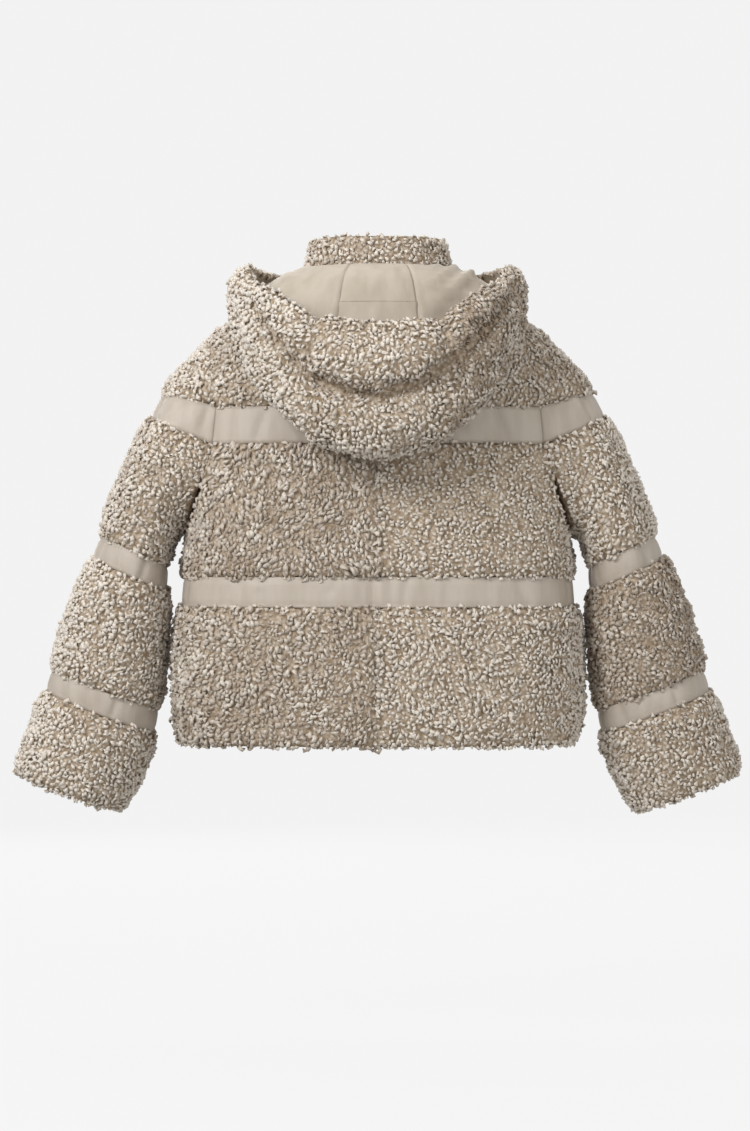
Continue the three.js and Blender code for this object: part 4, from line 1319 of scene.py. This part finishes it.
@dataclass(frozen=True)
class FrontZip:
    """The closed front zip: two woven tapes, their teeth, the slider with its pull, and the box."""

    tooth_pitch_mm: float = 2.8
    tooth_mm: tuple[float, float, float] = (3.0, 2.4, 1.5)
    edge_mm: float = 0.25
    cast_edge_mm: float = 0.18

    def build(self, finishes: Finishes) -> None:
        """Builds the zip's pieces."""
        for side in ("left", "right"):
            self._tape(side, finishes)
            self._teeth(side, finishes)
        for node, body in (("zip_slider", COAT), ("zip_box", COAT), ("zip_pull", PULL)):
            self._cast(node, body, finishes)

    def _tape(self, side: str, finishes: Finishes) -> None:
        """Makes one woven tape with softened edges."""
        node = "zip_tape_" + side
        mesh = rounded_copy(node, 50, self.edge_mm)
        mesh.materials.append(finishes.tape)
        tape = piece(node + "_weave", mesh, COAT, "cloth")
        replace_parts(tape, node)

    def _teeth(self, side: str, finishes: Finishes) -> None:
        """Sets moulded teeth along the strip's own line.

        Args:
            side: Which tape carries them.
            finishes: The coat's materials.
        """
        node = "zip_teeth_" + side
        way = -1 if side == "left" else 1
        line = self._line(node)
        tooth = bmesh.new()
        bmesh.ops.create_cube(tooth, size=1.0)
        bmesh.ops.scale(tooth, vec=Vector(self.tooth_mm) * MM, verts=tooth.verts)
        bmesh.ops.bevel(tooth, geom=tooth.edges[:], offset=self.edge_mm * MM, segments=1, profile=0.5,
                        affect="EDGES", material=-1)
        bmesh.ops.triangulate(tooth, faces=tooth.faces)
        own, faces = arrays_of(tooth)
        lengths = np.concatenate([[0.0], np.cumsum(np.linalg.norm(np.diff(line, axis=0), axis=1))])
        first = 0.5 if way < 0 else 1.0
        stops = np.arange(first, lengths[-1] / (self.tooth_pitch_mm * MM) - 0.5) * self.tooth_pitch_mm * MM
        points, triangles = [], []
        for number, stop in enumerate(stops):
            at = np.array([np.interp(stop, lengths, line[:, k]) for k in range(3)])
            ahead = np.array([np.interp(stop + MM, lengths, line[:, k]) for k in range(3)]) - at
            down = Vector(ahead).normalized()
            across = Vector((1, 0, 0))
            out = across.cross(down).normalized()
            turn = np.array(Matrix((across, out, down)).transposed())
            points.append(own @ turn.T + at + np.array([way * 0.35 * MM, 0, 0]))
            triangles.append(faces + number * len(own))
        mesh = joined_mesh(node, np.concatenate(points), np.concatenate(triangles), {})
        mesh.polygons.foreach_set("use_smooth", np.zeros(len(mesh.polygons), bool))
        mesh.materials.append(finishes.metal)
        teeth = piece(node + "_row", mesh, COAT, "zip_metal")
        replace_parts(teeth, node)
        LOG.info("%s: %d teeth", node, len(stops))

    def _line(self, node: str) -> np.ndarray:
        """Finds the strip's middle line from its cross sections.

        Args:
            node: The strip's solid.

        Returns:
            Points from the top of the strip to its bottom.
        """
        shape = solid_shape(node)
        places = sorted((v.co.copy() for v in shape.verts), key=lambda co: -co.z)
        shape.free()
        return np.array([sum(places[i:i + 4], Vector()) / 4 for i in range(0, len(places) - 3, 4)])

    def _cast(self, node: str, body: str, finishes: Finishes) -> None:
        """Makes one small cast part, which rides on its own body."""
        mesh = rounded_copy(node, 40, self.cast_edge_mm)
        mesh.materials.append(finishes.metal)
        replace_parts(piece(node + "_cast", mesh, body, "zip_metal"), node)


@dataclass(frozen=True)
class Studio:
    """The pale sweep, the soft lights and the camera behind the coat."""

    eye: tuple[float, float, float] = (-0.0036, -4.2, -0.3186)
    frame_height: float = 1.3572  # metres at the coat's middle
    floor: float = -0.9
    lights: tuple[tuple[tuple[float, float, float], float, float], ...] = (
        ((-1.9, -2.3, 1.25), 1.4, 62.0),
        ((2.1, -2.7, 0.2), 2.2, 20.0),
        ((-0.4, 0.4, 2.2), 1.6, 18.0),
        ((-0.6, 3.0, 0.8), 2.4, 42.0),
    )

    def build(self) -> None:
        """Builds the sweep, the lights and the camera."""
        scene = bpy.context.scene
        scene.view_settings.view_transform = "Standard"
        world = bpy.data.worlds.new("soft room")
        world.use_nodes = True
        world.node_tree.nodes["Background"].inputs["Color"].default_value = linear("#fbf8f3")
        world.node_tree.nodes["Background"].inputs["Strength"].default_value = 0.48
        scene.world = world
        self._sweep()
        for number, (place, width, power) in enumerate(self.lights):
            lamp = bpy.data.lights.new(f"softbox_{number}", "AREA")
            lamp.shape = "DISK"
            lamp.size = width
            lamp.energy = power
            made = bpy.data.objects.new(f"softbox_{number}", lamp)
            made.location = place
            aim = Vector((0, 0, -0.28)) - Vector(place)
            made.rotation_euler = aim.to_track_quat("-Z", "Y").to_euler()
            scene.collection.objects.link(made)
        camera = bpy.data.cameras.new("camera")
        camera.sensor_fit = "AUTO"
        camera.sensor_width = 36.0
        camera.lens = 36.0 * abs(self.eye[1]) / self.frame_height
        camera.clip_end = 60
        holder = bpy.data.objects.new("camera", camera)
        holder.location = self.eye
        holder.rotation_euler = (math.pi / 2, 0, 0)
        scene.collection.objects.link(holder)
        scene.camera = holder

    def _sweep(self) -> None:
        """Builds a floor that curves up into a wall far behind and at the sides."""
        shape = bmesh.new()
        bmesh.ops.create_grid(shape, x_segments=60, y_segments=60, size=9.0)
        for vertex in shape.verts:
            away = max(0.0, vertex.co.length - 6.5)
            vertex.co.z = self.floor + 0.5 * away * away
        for face in shape.faces:
            face.smooth = True
        mesh = mesh_of(shape, "sweep")
        mesh.materials.append(StudioFinish().build())
        floor = bpy.data.objects.new("sweep", mesh)
        floor.visible_diffuse = floor.visible_glossy = False
        bpy.context.scene.collection.objects.link(floor)


def main() -> None:
    """Builds the coat's sub-assemblies in order."""
    logging.basicConfig(level=logging.INFO, format="%(message)s")
    Studio().build()
    finishes = Finishes()
    walls = all_walls()
    Body().build(finishes, walls)
    # sleeve tones, cap to cuff: partly the fur's own tone, partly painted light and shade matching each
    # region's brightness as lit
    Sleeve("left", (0.1, 0.2, -0.1, -0.15), 31).build(finishes, walls)
    Sleeve("right", (0.4, -0.05, 0.7, 0.15), 41).build(finishes, walls)
    Neck().build(finishes, walls)
    FrontZip().build(finishes)
    shown = [o for o in bpy.data.objects if o.type == "MESH" and "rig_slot" in o]
    LOG.info("pieces %d, faces %d", len(shown), sum(len(o.data.polygons) for o in shown))


if __name__ == "__main__":
    main()
